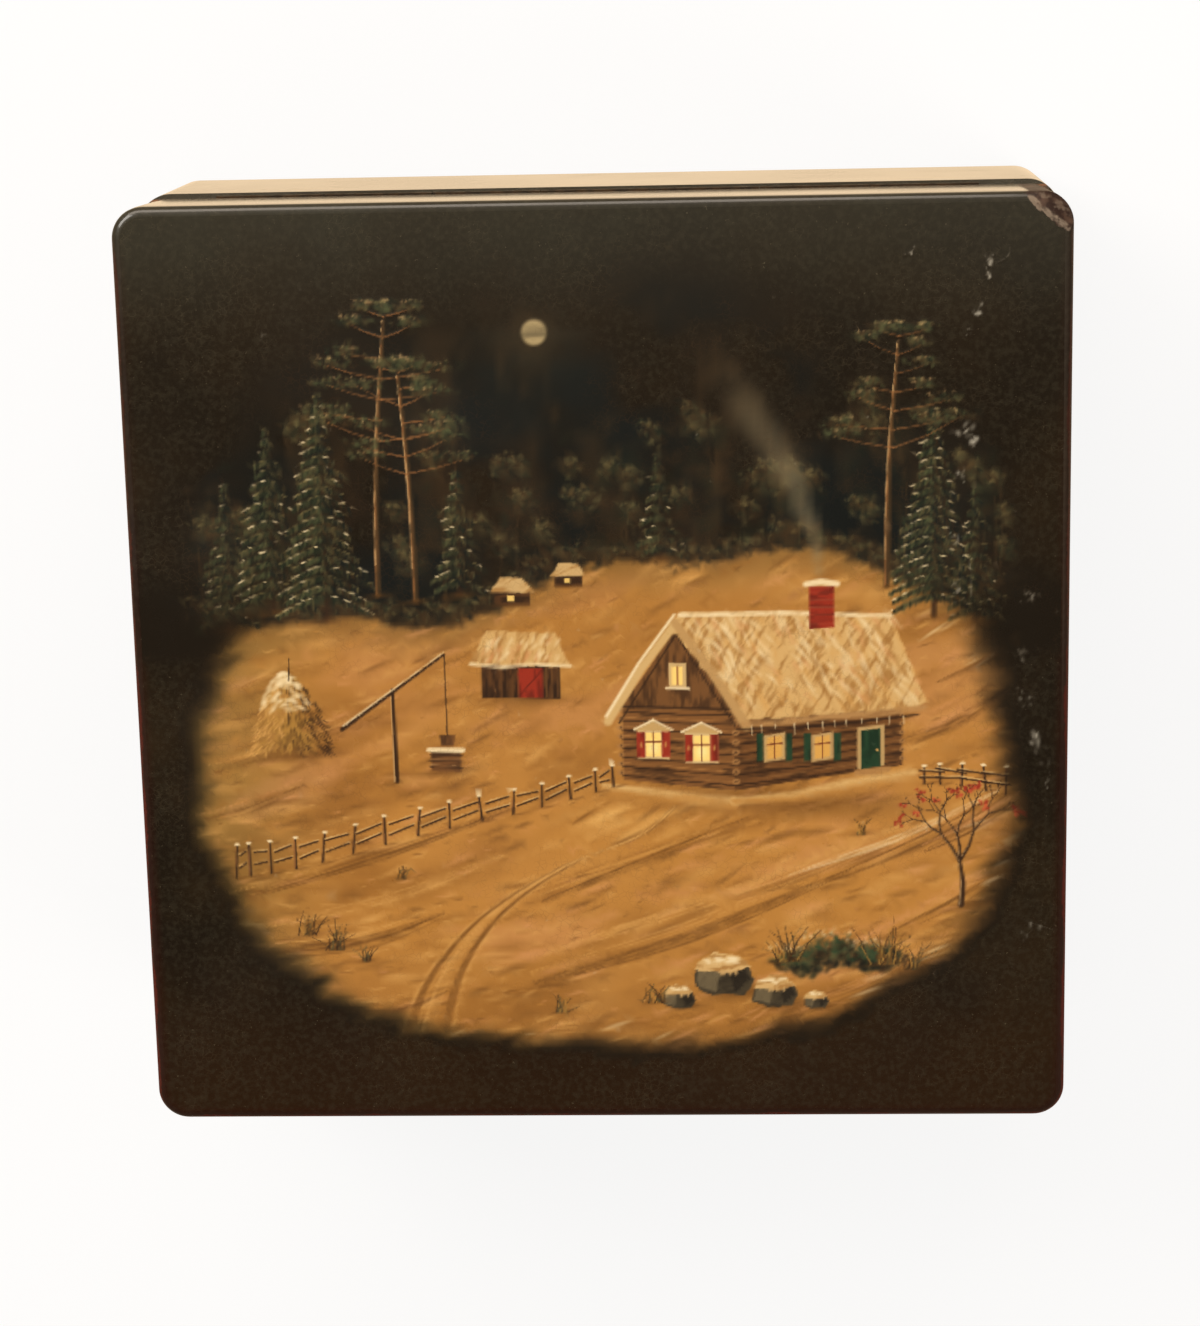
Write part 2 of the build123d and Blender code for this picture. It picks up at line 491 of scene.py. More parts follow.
# The lacquer's colour, roughness, coat and height anywhere on the box.
def lacquerGroup():
    tree, start, place = newGroup("lacquerSkin", Roughness=0.2, Cracks=0.1, Rubbed=0.9)
    depth, level = axes(place)["Y"], axes(place)["Z"]
    inside = placed(tree, "insideFaces")["Mask"]
    cracks = placed(tree, "ageCracks", Cell=lacquer["crackCell"])["Mask"]
    edges = placed(tree, "rubbedEdges", Reach=lacquer["rubbedReach"])
    knocked = placed(tree, "knockedCorner")
    seamZ = (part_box("body_wall")[1][2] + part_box("lid_wall")[0][2]) / 2
    offSeam = calc("ABSOLUTE", minus(level, seamZ), 0.0)
    ragged = times(noise(place, 2.0), lacquer["seamRagged"] * mm)
    seam = rise(minus(offSeam, ragged), *(s * mm for s in lacquer["seamHalf"]), 1.0, 0.0)
    rear = rise(depth, *lacquer["rearFrom"])
    seam = times(seam, most(rear, patches(place, 9.0, 0.5, 0.66, b=0.7)), minus(1.0, inside))
    brown = times(patches(place, 26.0, 0.35, 0.65), rise(depth, *lacquer["brownFrom"], 0.4, 1.0))
    olive = times(rise(depth, *lacquer["oliveFrom"]), patches(place, 20.0, 0.3, 0.7, 5.0, 0.5, 1.0))
    red = blend(patches(place, 18.0, 0.4, 0.62, 5.0), tone(lacquer["red"]), tone(lacquer["redDark"]))
    color = tone(lacquer["dark"])
    for share, over in (
        (brown, "brown"),
        (olive, "topOlive"),
        (times(rise(depth, *lacquer["frontFrom"]), lacquer["frontStrength"]), "frontBrown"),
        (inside, red),
        (times(patches(place, 0.9, 0.4, 0.7, 3.0), lacquer["grainStrength"]), "grain"),
        (times(cracks, start["Cracks"]), "crack"),
        (times(patches(place, 0.42, 0.73, 0.81, 1.0), lacquer["dustStrength"]), "dust"),
        (times(seam, lacquer["seamStrength"]), "seam"),
        (times(edges["Stain"], lacquer["stainStrength"]), "edgeStain"),
        (times(edges["Mask"], start["Rubbed"]), "rubbed"),
        (knocked["Mask"], knocked["Color"]),
    ):
        color = blend(share, color, tone(lacquer[over]) if isinstance(over, str) else over)
    top = cadBox[1][2]
    dulled = rise(level, top - 0.1 * mm, top - 0.03 * mm, lacquer["edgeDull"], 0.0)
    dulled = times(rise(level, top - 2.2 * mm, top - 1.4 * mm), dulled)
    bare = most(edges["Mask"], seam, knocked["Mask"], dulled)
    smear = patches(place, 30.0, 0.35, 0.7, 5.0, 0.0, 0.12, 0.6)
    rough = calc(
        "ADD", plus(start["Roughness"], smear), times(bare, lacquer["bareRoughness"]), clamp=True
    )
    height = minus(times(noise(place, 12.0, 2.0), 0.06), times(cracks, 0.012))
    foot, head = (corner[2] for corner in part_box("lid_wall"))
    ends = {"From Min": foot, "From Max": head, "To Min": lacquer["lidLean"], "To Max": 0.0}
    height = plus(height, join("MapRange", {"Value": level, **ends}).outputs[0])
    coat = minus(1.0, times(bare, 0.95))
    closeGroup(tree, Color=color, Roughness=rough, Coat=coat, Height=height)


crackGroup()
edgeGroup()
insideGroup()
knockGroup()
lacquerGroup()


# A lacquered finish; dress(tree, color, rough) may change its colour and roughness under the coat.
def lacquered(name, dress=None):
    mat, tree = newMaterial(name)
    skin = placed(
        tree, "lacquerSkin", Roughness=lacquer["roughness"], Cracks=lacquer["crackStrength"],
        Rubbed=lacquer["rubbedStrength"]
    )
    color, rough = skin["Color"], skin["Roughness"]
    if dress:
        color, rough = dress(tree, color, rough)
    links = {"Height": skin["Height"], "Distance": mm, "Strength": lacquer["bumpStrength"]}
    bump = put(tree, "Bump", links).outputs[0]
    bsdf = put(tree, "BsdfPrincipled", {
        "Base Color": color, "Roughness": rough, "Specular IOR Level": lacquer["specular"],
        "Coat Weight": skin["Coat"], "Coat Roughness": lacquer["coatRoughness"], "Normal": bump,
    })
    put(tree, "OutputMaterial", {"Surface": bsdf.outputs[0]})
    return mat


def agedMetal(name, bright, dark, roughness):
    mat, tree = newMaterial(name)
    place = put(tree, "TexCoord").outputs["Object"]
    color = blend(patches(place, 3.0, 0.4, 0.6, 5.0), tone(metal[bright]), tone(metal[dark]))
    low, high = metal[roughness] - metal["polished"], metal[roughness] + metal["dulled"]
    rough = patches(place, 1.2, 0.3, 0.7, 3.0, low, high)
    links = {"Base Color": color, "Metallic": metal["metallic"], "Roughness": rough}
    put(tree, "OutputMaterial", {"Surface": join("BsdfPrincipled", links).outputs[0]})
    return mat


def dressNodes():
    finishes = {
        lacquered("boardLacquer"): ("body_wall", "base_board", "lid_wall", "locating_hoop"),
        agedMetal("agedBrass", "barrel", "barrelDark", "barrelRoughness"): (
            "body_hinge_leaf", "lid_hinge_leaf", "body_leaf_brads", "lid_leaf_brads",
        ),
        agedMetal("dullWire", "wire", "barrelDark", "wireRoughness"): ("hinge_pin",),
    }
    for mat, nodes in finishes.items():
        for node in nodes:
            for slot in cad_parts[node].material_slots:
                slot.material = mat


dressNodes()
print("finishes ready")


# The lid's board, with a corner that has been knocked and worn down

# Opens a mesh for editing with only the chosen vertices, edges or faces picked.
def editPick(obj, mode, chosen):
    pick(obj)
    mesh = obj.data
    bpy.ops.object.mode_set(mode="EDIT")
    bpy.ops.mesh.select_mode(type=mode)
    bpy.ops.mesh.select_all(action="DESELECT")
    bpy.ops.object.mode_set(mode="OBJECT")
    items = {"VERT": mesh.vertices, "EDGE": mesh.edges, "FACE": mesh.polygons}[mode]
    items.foreach_set("select", np.asarray(chosen, bool))
    bpy.ops.object.mode_set(mode="EDIT")


# The middle of every edge, and the way that it runs.
def edgeMiddles(mesh):
    points = [v.co for v in mesh.vertices]
    pairs = [e.vertices for e in mesh.edges]
    return [((points[a] + points[b]) / 2, points[b] - points[a]) for a, b in pairs]


def roundEdges(board, chosen, radius, steps):
    editPick(board, "EDGE", chosen)
    bpy.ops.mesh.bevel(offset=lidBoard[radius] * mm, segments=lidBoard[steps], affect="EDGES")


def makeLidBoard():
    low, high = (Vector(c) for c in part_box("lid_panel"))
    high.z -= lidBoard["underTop"] * mm
    bpy.ops.object.select_all(action="DESELECT")
    bpy.ops.mesh.primitive_cube_add(size=1, location=(low + high) / 2)
    board = added("lidBoard", high - low)
    upright = [abs(way.z) > abs(way.x) + abs(way.y) for _, way in edgeMiddles(board.data)]
    roundEdges(board, upright, "cornerRadius", "cornerSteps")
    bpy.ops.object.mode_set(mode="OBJECT")
    rim = [mid.z > high.z - 1e-6 for mid, _ in edgeMiddles(board.data)]
    roundEdges(board, rim, "edgeRadius", "edgeSteps")
    point, normal = knockPlane()
    bpy.ops.mesh.select_all(action="SELECT")
    bpy.ops.mesh.bisect(plane_co=point, plane_no=normal, use_fill=True, clear_outer=True)
    bpy.ops.object.mode_set(mode="OBJECT")
    knocked = [
        abs((face.center - point).dot(normal)) < 1e-6 and face.normal.dot(normal) > 0.99
        for face in board.data.polygons
    ]
    editPick(board, "FACE", knocked)
    bpy.ops.mesh.quads_convert_to_tris()
    bpy.ops.mesh.subdivide(number_cuts=lidBoard["knockCuts"])
    bpy.ops.transform.vertex_random(offset=lidBoard["roughness"] * mm, uniform=0.0, normal=1.0, seed=4)
    bpy.ops.object.mode_set(mode="OBJECT")
    pick(board)
    bpy.ops.object.shade_smooth_by_angle(angle=math.radians(lidBoard["smoothAngle"]))
    board.data.materials.append(bpy.data.materials["boardLacquer"])
    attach(board, "lid")
    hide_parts("lid_panel")


makeLidBoard()
print("lid board ready")


# The picture, painted in numpy in millimetres about the middle of the lid

picture = {
    "size": (147.0, 148.0),     # mm, the flat of the lid
    "dots": 7,                  # paint dots to a millimetre
    "seed": 7,
    "strokes": 4600,            # short ones that make up the snow
    "rimStrokes": 170,
}
dice = np.random.default_rng(picture["seed"])
draw, chance = dice.uniform, dice.random
table = chance((256, 256))
half = np.array(picture["size"]) / 2
across, upward = (int(s * picture["dots"]) for s in picture["size"])
dotX, dotY = np.meshgrid(
    (np.arange(across) + 0.5) / picture["dots"] - half[0],
    (np.arange(upward) + 0.5) / picture["dots"] - half[1],
)
paint = np.zeros((upward, across, 3))
thickness = np.zeros((upward, across))   # how thick the paint lies
veil = np.zeros((upward, across))        # how much of the lacquer it hides

hues = {
    "ink": (27, 20, 12), "night": (18, 22, 22), "umber": (46, 33, 20), "earth": (68, 50, 29),
    "olive": (84, 76, 48), "moss": (116, 103, 64), "fir": (31, 37, 26), "firLight": (78, 82, 52),
    "bright": (208, 155, 84), "snow": (183, 126, 57), "shade": (144, 94, 39), "rut": (104, 66, 28),
    "blush": (207, 145, 91), "cream": (236, 212, 166), "hillShade": (122, 92, 46),
    "leftShade": (116, 94, 48), "rimShade": (74, 70, 36), "bank": (214, 172, 108),
    "halo": (140, 120, 80), "moon": (196, 172, 122), "mist": (48, 42, 30), "smoke": (140, 124, 92),
    "bark": (150, 98, 54), "barkLit": (206, 166, 112), "straw": (172, 126, 56),
    "strawDark": (100, 68, 30), "log": (110, 70, 36), "logDark": (50, 32, 20),
    "logWarm": (126, 82, 42), "plank": (120, 80, 42), "logEnd": (162, 114, 64), "gable": (116, 76, 40),
    "brick": (150, 46, 28), "brickDark": (88, 28, 18), "mortar": (186, 110, 78), "green": (38, 64, 42),
    "doorDark": (22, 38, 26), "shutterDark": (24, 36, 24), "trim": (186, 150, 96),
    "frame": (212, 182, 128), "atticFrame": (204, 170, 114), "step": (170, 122, 68),
    "ledge": (196, 158, 98), "glow": (252, 210, 116), "lamp": (255, 236, 170), "amber": (216, 160, 76),
    "roof": (208, 166, 104), "hutRoof": (206, 168, 110), "barnRoof": (204, 162, 100),
    "verge": (206, 168, 108), "vergeShade": (186, 144, 88), "eave": (178, 132, 78),
    "yard": (240, 190, 112), "rail": (220, 184, 126), "berry": (196, 84, 50), "stone": (70, 60, 44),
    "stoneDark": (44, 37, 28), "stoneLit": (116, 100, 72), "stoneEdge": (84, 72, 52),
    "stoneShade": (36, 30, 24), "stoneCap": (208, 168, 108), "drip": (200, 160, 102),
}
easel = {"x": 0.0, "y": 0.0, "scale": 1.0}   # where the motif in hand is painted

# where everything in the picture stands, in millimetres
scenery = {
    "moon": (-9.0, 55.0, 2.3),          # x, y, radius
    "thickets": [                       # x, top, half width
        (-60, 34, 8), (-47, 44, 9), (-26, 40, 9), (-12, 36, 8), (2, 40, 9),
        (17, 46, 10), (30, 38, 8), (46, 45, 9), (60, 35, 7),
    ],
    "trees": [                          # fir: x, base, height, snow, haze; pine: x, base, height, lean
        ("fir", -59, 8, 24, 0.35, 0.2), ("fir", -52, 11, 30, 0.5, 0.1), ("pine", -35, 13.5, 46, 2.5),
        ("pine", -29, 12.5, 38, -1.5), ("fir", -43.5, 9.5, 37, 0.75), ("fir", -22, 13.5, 20, 0.5, 0.1),
        ("fir", 60, 8, 22, 0.35, 0.2), ("fir", 53.5, 9, 34, 0.7), ("pine", 46, 14, 41, 2.0),
        ("fir", 10, 19, 17, 0.4, 0.25),
    ],
    "huts": [(-13.5, 11.4, 2.8, 2.3), (-4.5, 14.4, 2.2, 1.9)],     # x, y, half width, wall height
    "cabin": (-13.0, -3.5, 1.28),       # x, y, scale
    "smoke": (38, 15.2),                # the chimney's mouth in the cabin's own frame
    "barn": (-12.0, -1.0, 1.15),
    "well": (-25.0, -14.0, 1.15),
    "haystack": (-50, -7, 6.8, 13),     # x, y, half width, height
    "fences": [                         # points, height, posts
        ([(2, -18.5), (-12, -22.5), (-30, -26.5), (-48, -31.5), (-60, -33.5)], 4.4, 15),
        ([(52, -18.5), (58, -19), (65, -20.5)], 3.6, 5),
    ],
    "road": [(12, -22), (6, -27), (-6, -32), (-18, -40), (-26, -50), (-30, -61)],
    "rowan": (58, -39, 7.4, 92, 1.35),  # x, y, trunk length, its lean in degrees, its width
    "boulders": [(19.5, -51, 5.0), (27.8, -53.8, 3.8), (12.0, -54.6, 2.8), (34.5, -55.2, 2.1)],
    "junipers": [(38, -47, 7.5, 3.2), (32, -49, 5, 2.2), (44.5, -48.2, 5, 2.4)],
    "tufts": [                          # x, y, height, blades
        (30, -48.5, 6.5, 26), (46, -49, 7.5, 30), (50.5, -50, 5, 22), (8, -55.5, 4.5, 18),
        (-44, -46, 5.2, 24), (-48.5, -43.5, 4.2, 18), (-39, -48, 3.2, 12), (-7, -57, 3.4, 14),
        (42, -27, 3, 12), (-33, -34, 2.6, 10),
    ],
    "drifts": [                         # points, width, color, strength
        ([(-62, -38), (-36, -30), (-14, -22)], 1.8, "rut", 0.55),
        ([(-60, -47), (-40, -45), (-26, -40)], 2.2, "rut", 0.6),
        ([(-10, -38), (10, -30), (24, -24)], 1.6, "rut", 0.55),
        ([(-52, -56), (-36, -56), (-26, -53)], 2.2, "rut", 0.5),
        ([(-12, -52), (14, -44), (40, -33)], 2.4, "rut", 0.6),
        ([(36, -35), (52, -28), (66, -20)], 1.8, "rut", 0.6),
        ([(-20, -61), (6, -59), (20, -55)], 2.4, "shade", 0.6),
        ([(24, -60), (44, -53), (58, -44)], 2.2, "rut", 0.5),
        ([(46, -44), (58, -38), (67, -32)], 1.6, "rut", 0.6),
        ([(52, -30), (60, -26), (68, -21)], 1.4, "rut", 0.6),
        ([(20, -38), (30, -35), (42, -30)], 1.3, "rut", 0.5),
        ([(46, -12), (56, -9), (67, -2)], 2.2, "rut", 0.5),
        ([(54, -2), (61, 1), (68, 5)], 1.6, "rut", 0.45),
        ([(-64, -16), (-50, -12), (-34, -6)], 1.8, "rut", 0.5),
        ([(-66, -24), (-58, -22), (-48, -18)], 1.4, "rut", 0.5),
        ([(-62, -4), (-52, 0), (-40, 3)], 1.8, "shade", 0.6),
        ([(-14, -37), (14, -28), (42, -20), (64, -12)], 2.6, "shade", 0.6),
        ([(-56, -42), (-34, -37), (-16, -30)], 1.8, "bright", 0.6),
        ([(-10, -47), (20, -37), (50, -25)], 2.2, "bright", 0.55),
        ([(10, -56), (36, -48), (62, -33)], 2.0, "blush", 0.5),
        ([(30, -34), (48, -28), (64, -20)], 1.8, "cream", 0.35),
    ],
}
# marks that years of use have left on the lacquer over the picture
wear = {
    "color": (184, 176, 158),
    "dust": 230,
    "scratchStrength": 1.8,
    "specks": [                         # x, y, size, strength
        (62, 65.1, 0.61, 0.9), (62, 62.8, 0.46, 0.8), (60, 57.1, 0.72, 0.86), (58.8, 53.9, 0.38, 0.69),
        (49.8, 66.4, 0.43, 0.69), (58.3, 38.3, 0.8, 0.8), (59.8, 37, 0.58, 0.69),
        (57.5, 31.5, 0.58, 0.63), (56.9, 21.1, 0.43, 0.57), (57.1, 13.4, 0.41, 0.57),
        (68.9, 12, 0.65, 0.4), (67.3, 2.2, 0.72, 0.4), (67.2, -3.7, 0.58, 0.52),
        (68.3, -4.8, 0.72, 0.46), (69.5, -11.9, 1.01, 0.57), (70, -13.1, 1.16, 0.52),
        (71.8, -18.4, 0.58, 0.46), (69, -43.9, 0.87, 0.57), (-52, 55, 0.43, 0.4),
        (-45.5, 62.4, 0.38, 0.4),
    ],
    "scratches": [                      # points, width, strength
        ([(64.9, 67.5), (65.0, 66.3), (64.4, 65.4), (62.9, 64.6)], 0.45, 0.32),
        ([(59.1, 17.9), (59.3, 14.5), (59.2, 11.4)], 0.35, 0.25),
        ([(66.2, -40.8), (69, -42), (72.8, -43.4)], 0.3, 0.42),
        ([(68.6, -44.4), (69.8, -43.2), (71.6, -42.2)], 0.3, 0.4),
        ([(64.5, -46.8), (66.8, -50.4), (68.2, -53)], 0.3, 0.2),
        ([(-60, -30), (-56.5, -33.5), (-54, -38)], 0.25, 0.12),
    ],
}


# A draw about 0, or several.
def stray(spread, size=None):
    return dice.normal(0, spread, size)


def oneOf(names):
    names = names.split()
    return names[dice.integers(len(names))]


def lattice(u, v):
    iu, iv = np.floor(u).astype(int), np.floor(v).astype(int)
    fu, fv = u - iu, v - iv
    fu, fv = fu * fu * (3 - 2 * fu), fv * fv * (3 - 2 * fv)
    low = table[iv % 256, iu % 256] * (1 - fu) + table[iv % 256, (iu + 1) % 256] * fu
    high = table[(iv + 1) % 256, iu % 256] * (1 - fu) + table[(iv + 1) % 256, (iu + 1) % 256] * fu
    return low * (1 - fv) + high * fv


# The way that an angle in degrees points.
def heading(turn):
    return math.cos(math.radians(turn)), math.sin(math.radians(turn))


# Soft noise from 0 to 1, with patches that many mm wide.
def cloud(cell, octaves=4, stretch=1.0, turn=0.0, shift=0.0, x=None, y=None):
    x, y = (dotX, dotY) if x is None else (x, y)
    c, s = heading(turn)
    u, v = (x * c + y * s) / (cell * stretch) + shift, (y * c - x * s) / cell + shift * 1.7
    total, weight, share = 0, 0, 1.0
    for _ in range(octaves):
        total = total + lattice(u, v) * share
        weight += share
        u, v, share = u * 2.03 + 11.3, v * 2.03 + 5.7, share * 0.55
    return total / weight


def ramp(value, low, high):
    t = np.clip((value - low) / (high - low), 0, 1)
    return t * t * (3 - 2 * t)


# Lays a colour, by its name in hues or as it is, on the whole chart or a part of it.
def cover(mask, color, thick=0.0, area=...):
    paint[area] += (rgb(hues.get(color, color)) - paint[area]) * mask[..., None]
    thickness[area] += (thick - thickness[area]) * mask * (thick > 0)
    veil[area] += (1 - veil[area]) * mask


def onEasel(points):
    return np.array(points, float) * easel["scale"] + (easel["x"], easel["y"])


# The part of the chart between two corners, or None when it is off the lid.
def areaBetween(low, high):
    first = ((np.array(low) + half) * picture["dots"]).astype(int) - 1
    last = ((np.array(high) + half) * picture["dots"]).astype(int) + 2
    (x0, y0), (x1, y1) = np.maximum(first, 0), np.minimum(last, (across, upward))
    return (slice(y0, y1), slice(x0, x1)) if x1 > x0 and y1 > y0 else None


def dab(x, y, long, wide, turn, color, strength=1.0, soft=0.6, thick=0.3):
    size = easel["scale"]
    x, y, long, wide = easel["x"] + x * size, easel["y"] + y * size, long * size, wide * size
    reach = max(long, wide)
    area = areaBetween((x - reach, y - reach), (x + reach, y + reach))
    if area is None:
        return
    c, s = heading(turn)
    dx, dy = dotX[area] - x, dotY[area] - y
    far = np.hypot((dx * c + dy * s) / long, (dy * c - dx * s) / wide)
    cover(strength * np.clip((1 - far) / soft, 0, 1), color, thick, area)


# The dent round the foot of something that stands in the snow.
def dent(x, y, long, wide, turn, strength=0.6, soft=0.9, thick=0.3):
    dab(x, y, long, wide, turn, "rut", strength, soft, thick)


# A brush line through points, with one width or several from its start to its end.
def stroke(points, widths, color, strength=1.0, soft=0.5, thick=0.5, ragged=0.0):
    points, widths = onEasel(points), np.atleast_1d(widths)
    steps, given = np.linspace(0, 1, len(points)), np.linspace(0, 1, len(widths))
    widths = np.interp(steps, given, widths) / 2 * easel["scale"]
    reach = widths.max()
    area = areaBetween(points.min(0) - reach, points.max(0) + reach)
    if area is None:
        return
    x, y = dotX[area], dotY[area]
    mask = np.zeros(x.shape)
    for (ax, ay), (bx, by), wa, wb in zip(points, points[1:], widths, widths[1:]):
        dx, dy = bx - ax, by - ay
        t = np.clip(((x - ax) * dx + (y - ay) * dy) / (dx * dx + dy * dy + 1e-9), 0, 1)
        wide = wa + (wb - wa) * t
        far = np.hypot(x - ax - t * dx, y - ay - t * dy) / np.maximum(wide, 1e-3)
        mask = np.maximum(mask, np.clip((1 - far) / soft, 0, 1))
    if ragged:
        way = math.degrees(math.atan2(*(points[-1] - points[0])[::-1]))
        grain = cloud(0.35, 3, stretch=5, turn=way, x=x, y=y, shift=points[0, 0])
        mask = mask * (1 - ragged + ragged * ramp(grain, 0.35, 0.6))
    cover(strength * mask, color, thick, area)


# A filled shape that bulges out all round; grain is the direction of its brush marks.
def patch(corners, color, strength=1.0, soft=0.25, thick=0.4, grain=None, dark=None, ragged=0.0):
    corners = onEasel(corners)
    area = areaBetween(corners.min(0) - soft, corners.max(0) + soft)
    if area is None:
        return
    x, y = dotX[area], dotY[area]
    if ragged:
        x = x + (cloud(1.5, 3, x=x, y=y, shift=9) - 0.5) * ragged
        y = y + (cloud(1.5, 3, x=x, y=y, shift=17) - 0.5) * ragged
    ahead = np.roll(corners, -1, 0)
    sides = ahead - corners
    bends = sides[:, 0] * np.roll(sides, -1, 0)[:, 1] - sides[:, 1] * np.roll(sides, -1, 0)[:, 0]
    way = 1 if bends.sum() > 0 else -1
    inside = np.full(x.shape, 1e9)
    for (ax, ay), (dx, dy) in zip(corners, sides):
        inside = np.minimum(inside, way * (dx * (y - ay) - dy * (x - ax)) / math.hypot(dx, dy))
    mask = strength * ramp(inside, -soft / 2, soft / 2)
    cover(mask, color, thick, area)
    if grain is not None:
        marks = cloud(0.6, 3, stretch=6, turn=grain, x=x, y=y, shift=corners[0, 0])
        cover(mask * ramp(marks, 0.45, 0.7) * 0.6, dark, thick * 0.7, area)


# The corners of a shape with upright sides, by those and the heights of its corners.
def panel(left, right, footLeft, footRight, headRight, headLeft):
    return [(left, footLeft), (right, footRight), (right, headRight), (left, headLeft)]


def slab(left, right, low, high):
    return panel(left, right, low, low, high, high)


# The line where the snow meets the wood.
def hill(x):
    return 14.5 + 5.0 * np.sin(x / 19 + 0.5) + 1.6 * np.sin(x / 6.3 + 2) + (x - 10) * 0.03


# The way the snow lies, in degrees.
def drift(x, y):
    return 15 + 9 * math.sin(x / 30 + 1) + 6 * math.cos(y / 18)


# How far the picture covers the lid, an oval with an uneven rim.
def ovalField():
    out = (np.abs((dotX - 1) / 69.0) ** 2.4 + np.abs((dotY + 19) / 46.5) ** 2.4) ** (1 / 2.4)
    uneven = (cloud(16, 3, shift=5) - 0.5) * 4 + (cloud(2.2, 3, stretch=4, turn=20, shift=31) - 0.5) * 3.2
    return 1 - ramp(out * 50 + uneven, 43.0, 51.0)


oval = ovalField()


# The lacquer's ground and the wood's darkness on it.
def paintGround():
    paint[:] = rgb(hues["ink"])
    wood = ramp(dotY, 0, 14) * (1 - ramp(np.hypot(dotX / 76, (dotY - 16) / 56), 0.6, 1.0))
    cover(wood * 0.85 * ramp(cloud(18, 4, shift=2), 0.3, 0.65), "night")
    cover(wood * 0.6 * ramp(cloud(14, 4, shift=8), 0.45, 0.72), "umber")
    cover(wood * 0.4 * ramp(cloud(5, 4, stretch=2.5, turn=80, shift=4), 0.48, 0.75), "earth")


# Points at even steps on a smooth curve through a few.
def along(points, count):
    points = np.array(points, float)
    out = []
    for v in np.linspace(0, len(points) - 1, count):
        k = min(int(v), len(points) - 2)
        f = v - k
        a, b, d, e = (points[min(max(k + step, 0), len(points) - 1)] for step in (-1, 0, 1, 2))
        bend = 2 * a - 5 * b + 4 * d - e
        out.append(0.5 * (2 * b + (d - a) * f + bend * f * f + (3 * b - a - 3 * d + e) * f ** 3))
    return np.array(out)


# A loose mass of leaf dabs, thicker at its middle.
def foliage(x, y, wide, tall, count, colors, size=1.1, strength=0.35):
    for _ in range(count):
        a, r = draw(0, 2 * math.pi), math.sqrt(chance()) * draw(0.4, 1.0)
        s = size * draw(0.5, 1.3)
        px, py = x + math.cos(a) * r * wide, y + math.sin(a) * r * tall
        flat, turn = s * draw(0.45, 0.9), draw(0, 180)
        dab(px, py, s, flat, turn, oneOf(colors), strength * draw(0.3, 1.0), 0.8, 0.25)


# Far thickets, each a few clumps with thin trunks.
def paintThickets():
    for x, top, wide in scenery["thickets"]:
        base = float(hill(x))
        for _ in range(3):
            tx = x + draw(-0.5, 0.5) * wide
            trunk = [(tx, base - 1), (tx + stray(1), (base + top) / 2), (tx + stray(2), top - 3)]
            stroke(along(trunk, 8), (0.7, 0.2), "earth", 0.5, 0.8, 0.3)
        foliage(x, (base + top) / 2, wide, (top - base) / 2 + 3, 80, "umber earth night fir", 2.4, 0.36)
        for _ in range(6):
            px, py = x + draw(-0.8, 0.8) * wide, base + (top - base) * draw(0.25, 1.0)
            foliage(px, py, wide * 0.34, 2.6, 60, "earth umber olive fir", 0.8, 0.5)
            foliage(px - 0.6, py + 1.2, wide * 0.24, 1.3, 26, "olive moss earth", 0.55, 0.48)


# A veiled moon.
def paintMoon():
    x, y, radius = scenery["moon"]
    far = np.hypot(dotX - x, dotY - y)
    cover(0.2 * np.exp(-(far / 8) ** 1.3) * (0.5 + 0.5 * cloud(8, 3, stretch=3, shift=12)), "halo")
    dab(x, y, radius, radius, 0, "moon", 0.8, 0.25, 0.5)
    mist = 0.5 * ramp(cloud(3, 4, stretch=4, turn=4, shift=21), 0.5, 0.7)
    level = np.exp(-((dotY - y + 0.6) / 1.6) ** 2)
    cover(mist * level * np.exp(-((dotX - x) / 9) ** 4), "mist")


# A broad dry stroke made of hairs side by side.
def brushed(points, wide, color, strength, hairs=9):
    line = along(points, 26)
    sideways = np.gradient(line, axis=0)
    sideways = np.stack([-sideways[:, 1], sideways[:, 0]], 1) / np.linalg.norm(sideways, axis=1)[:, None]
    for _ in range(hairs):
        off = draw(-0.5, 0.5) * wide * np.sin(np.linspace(0.25, 2.9, 26))[:, None]
        hair = line + sideways * off + stray(0.03, (26, 2))
        stroke(hair, (0.1, wide * 0.3, 0.1), color, strength * draw(0.3, 1.0), 0.9, 0.6, 0.5)


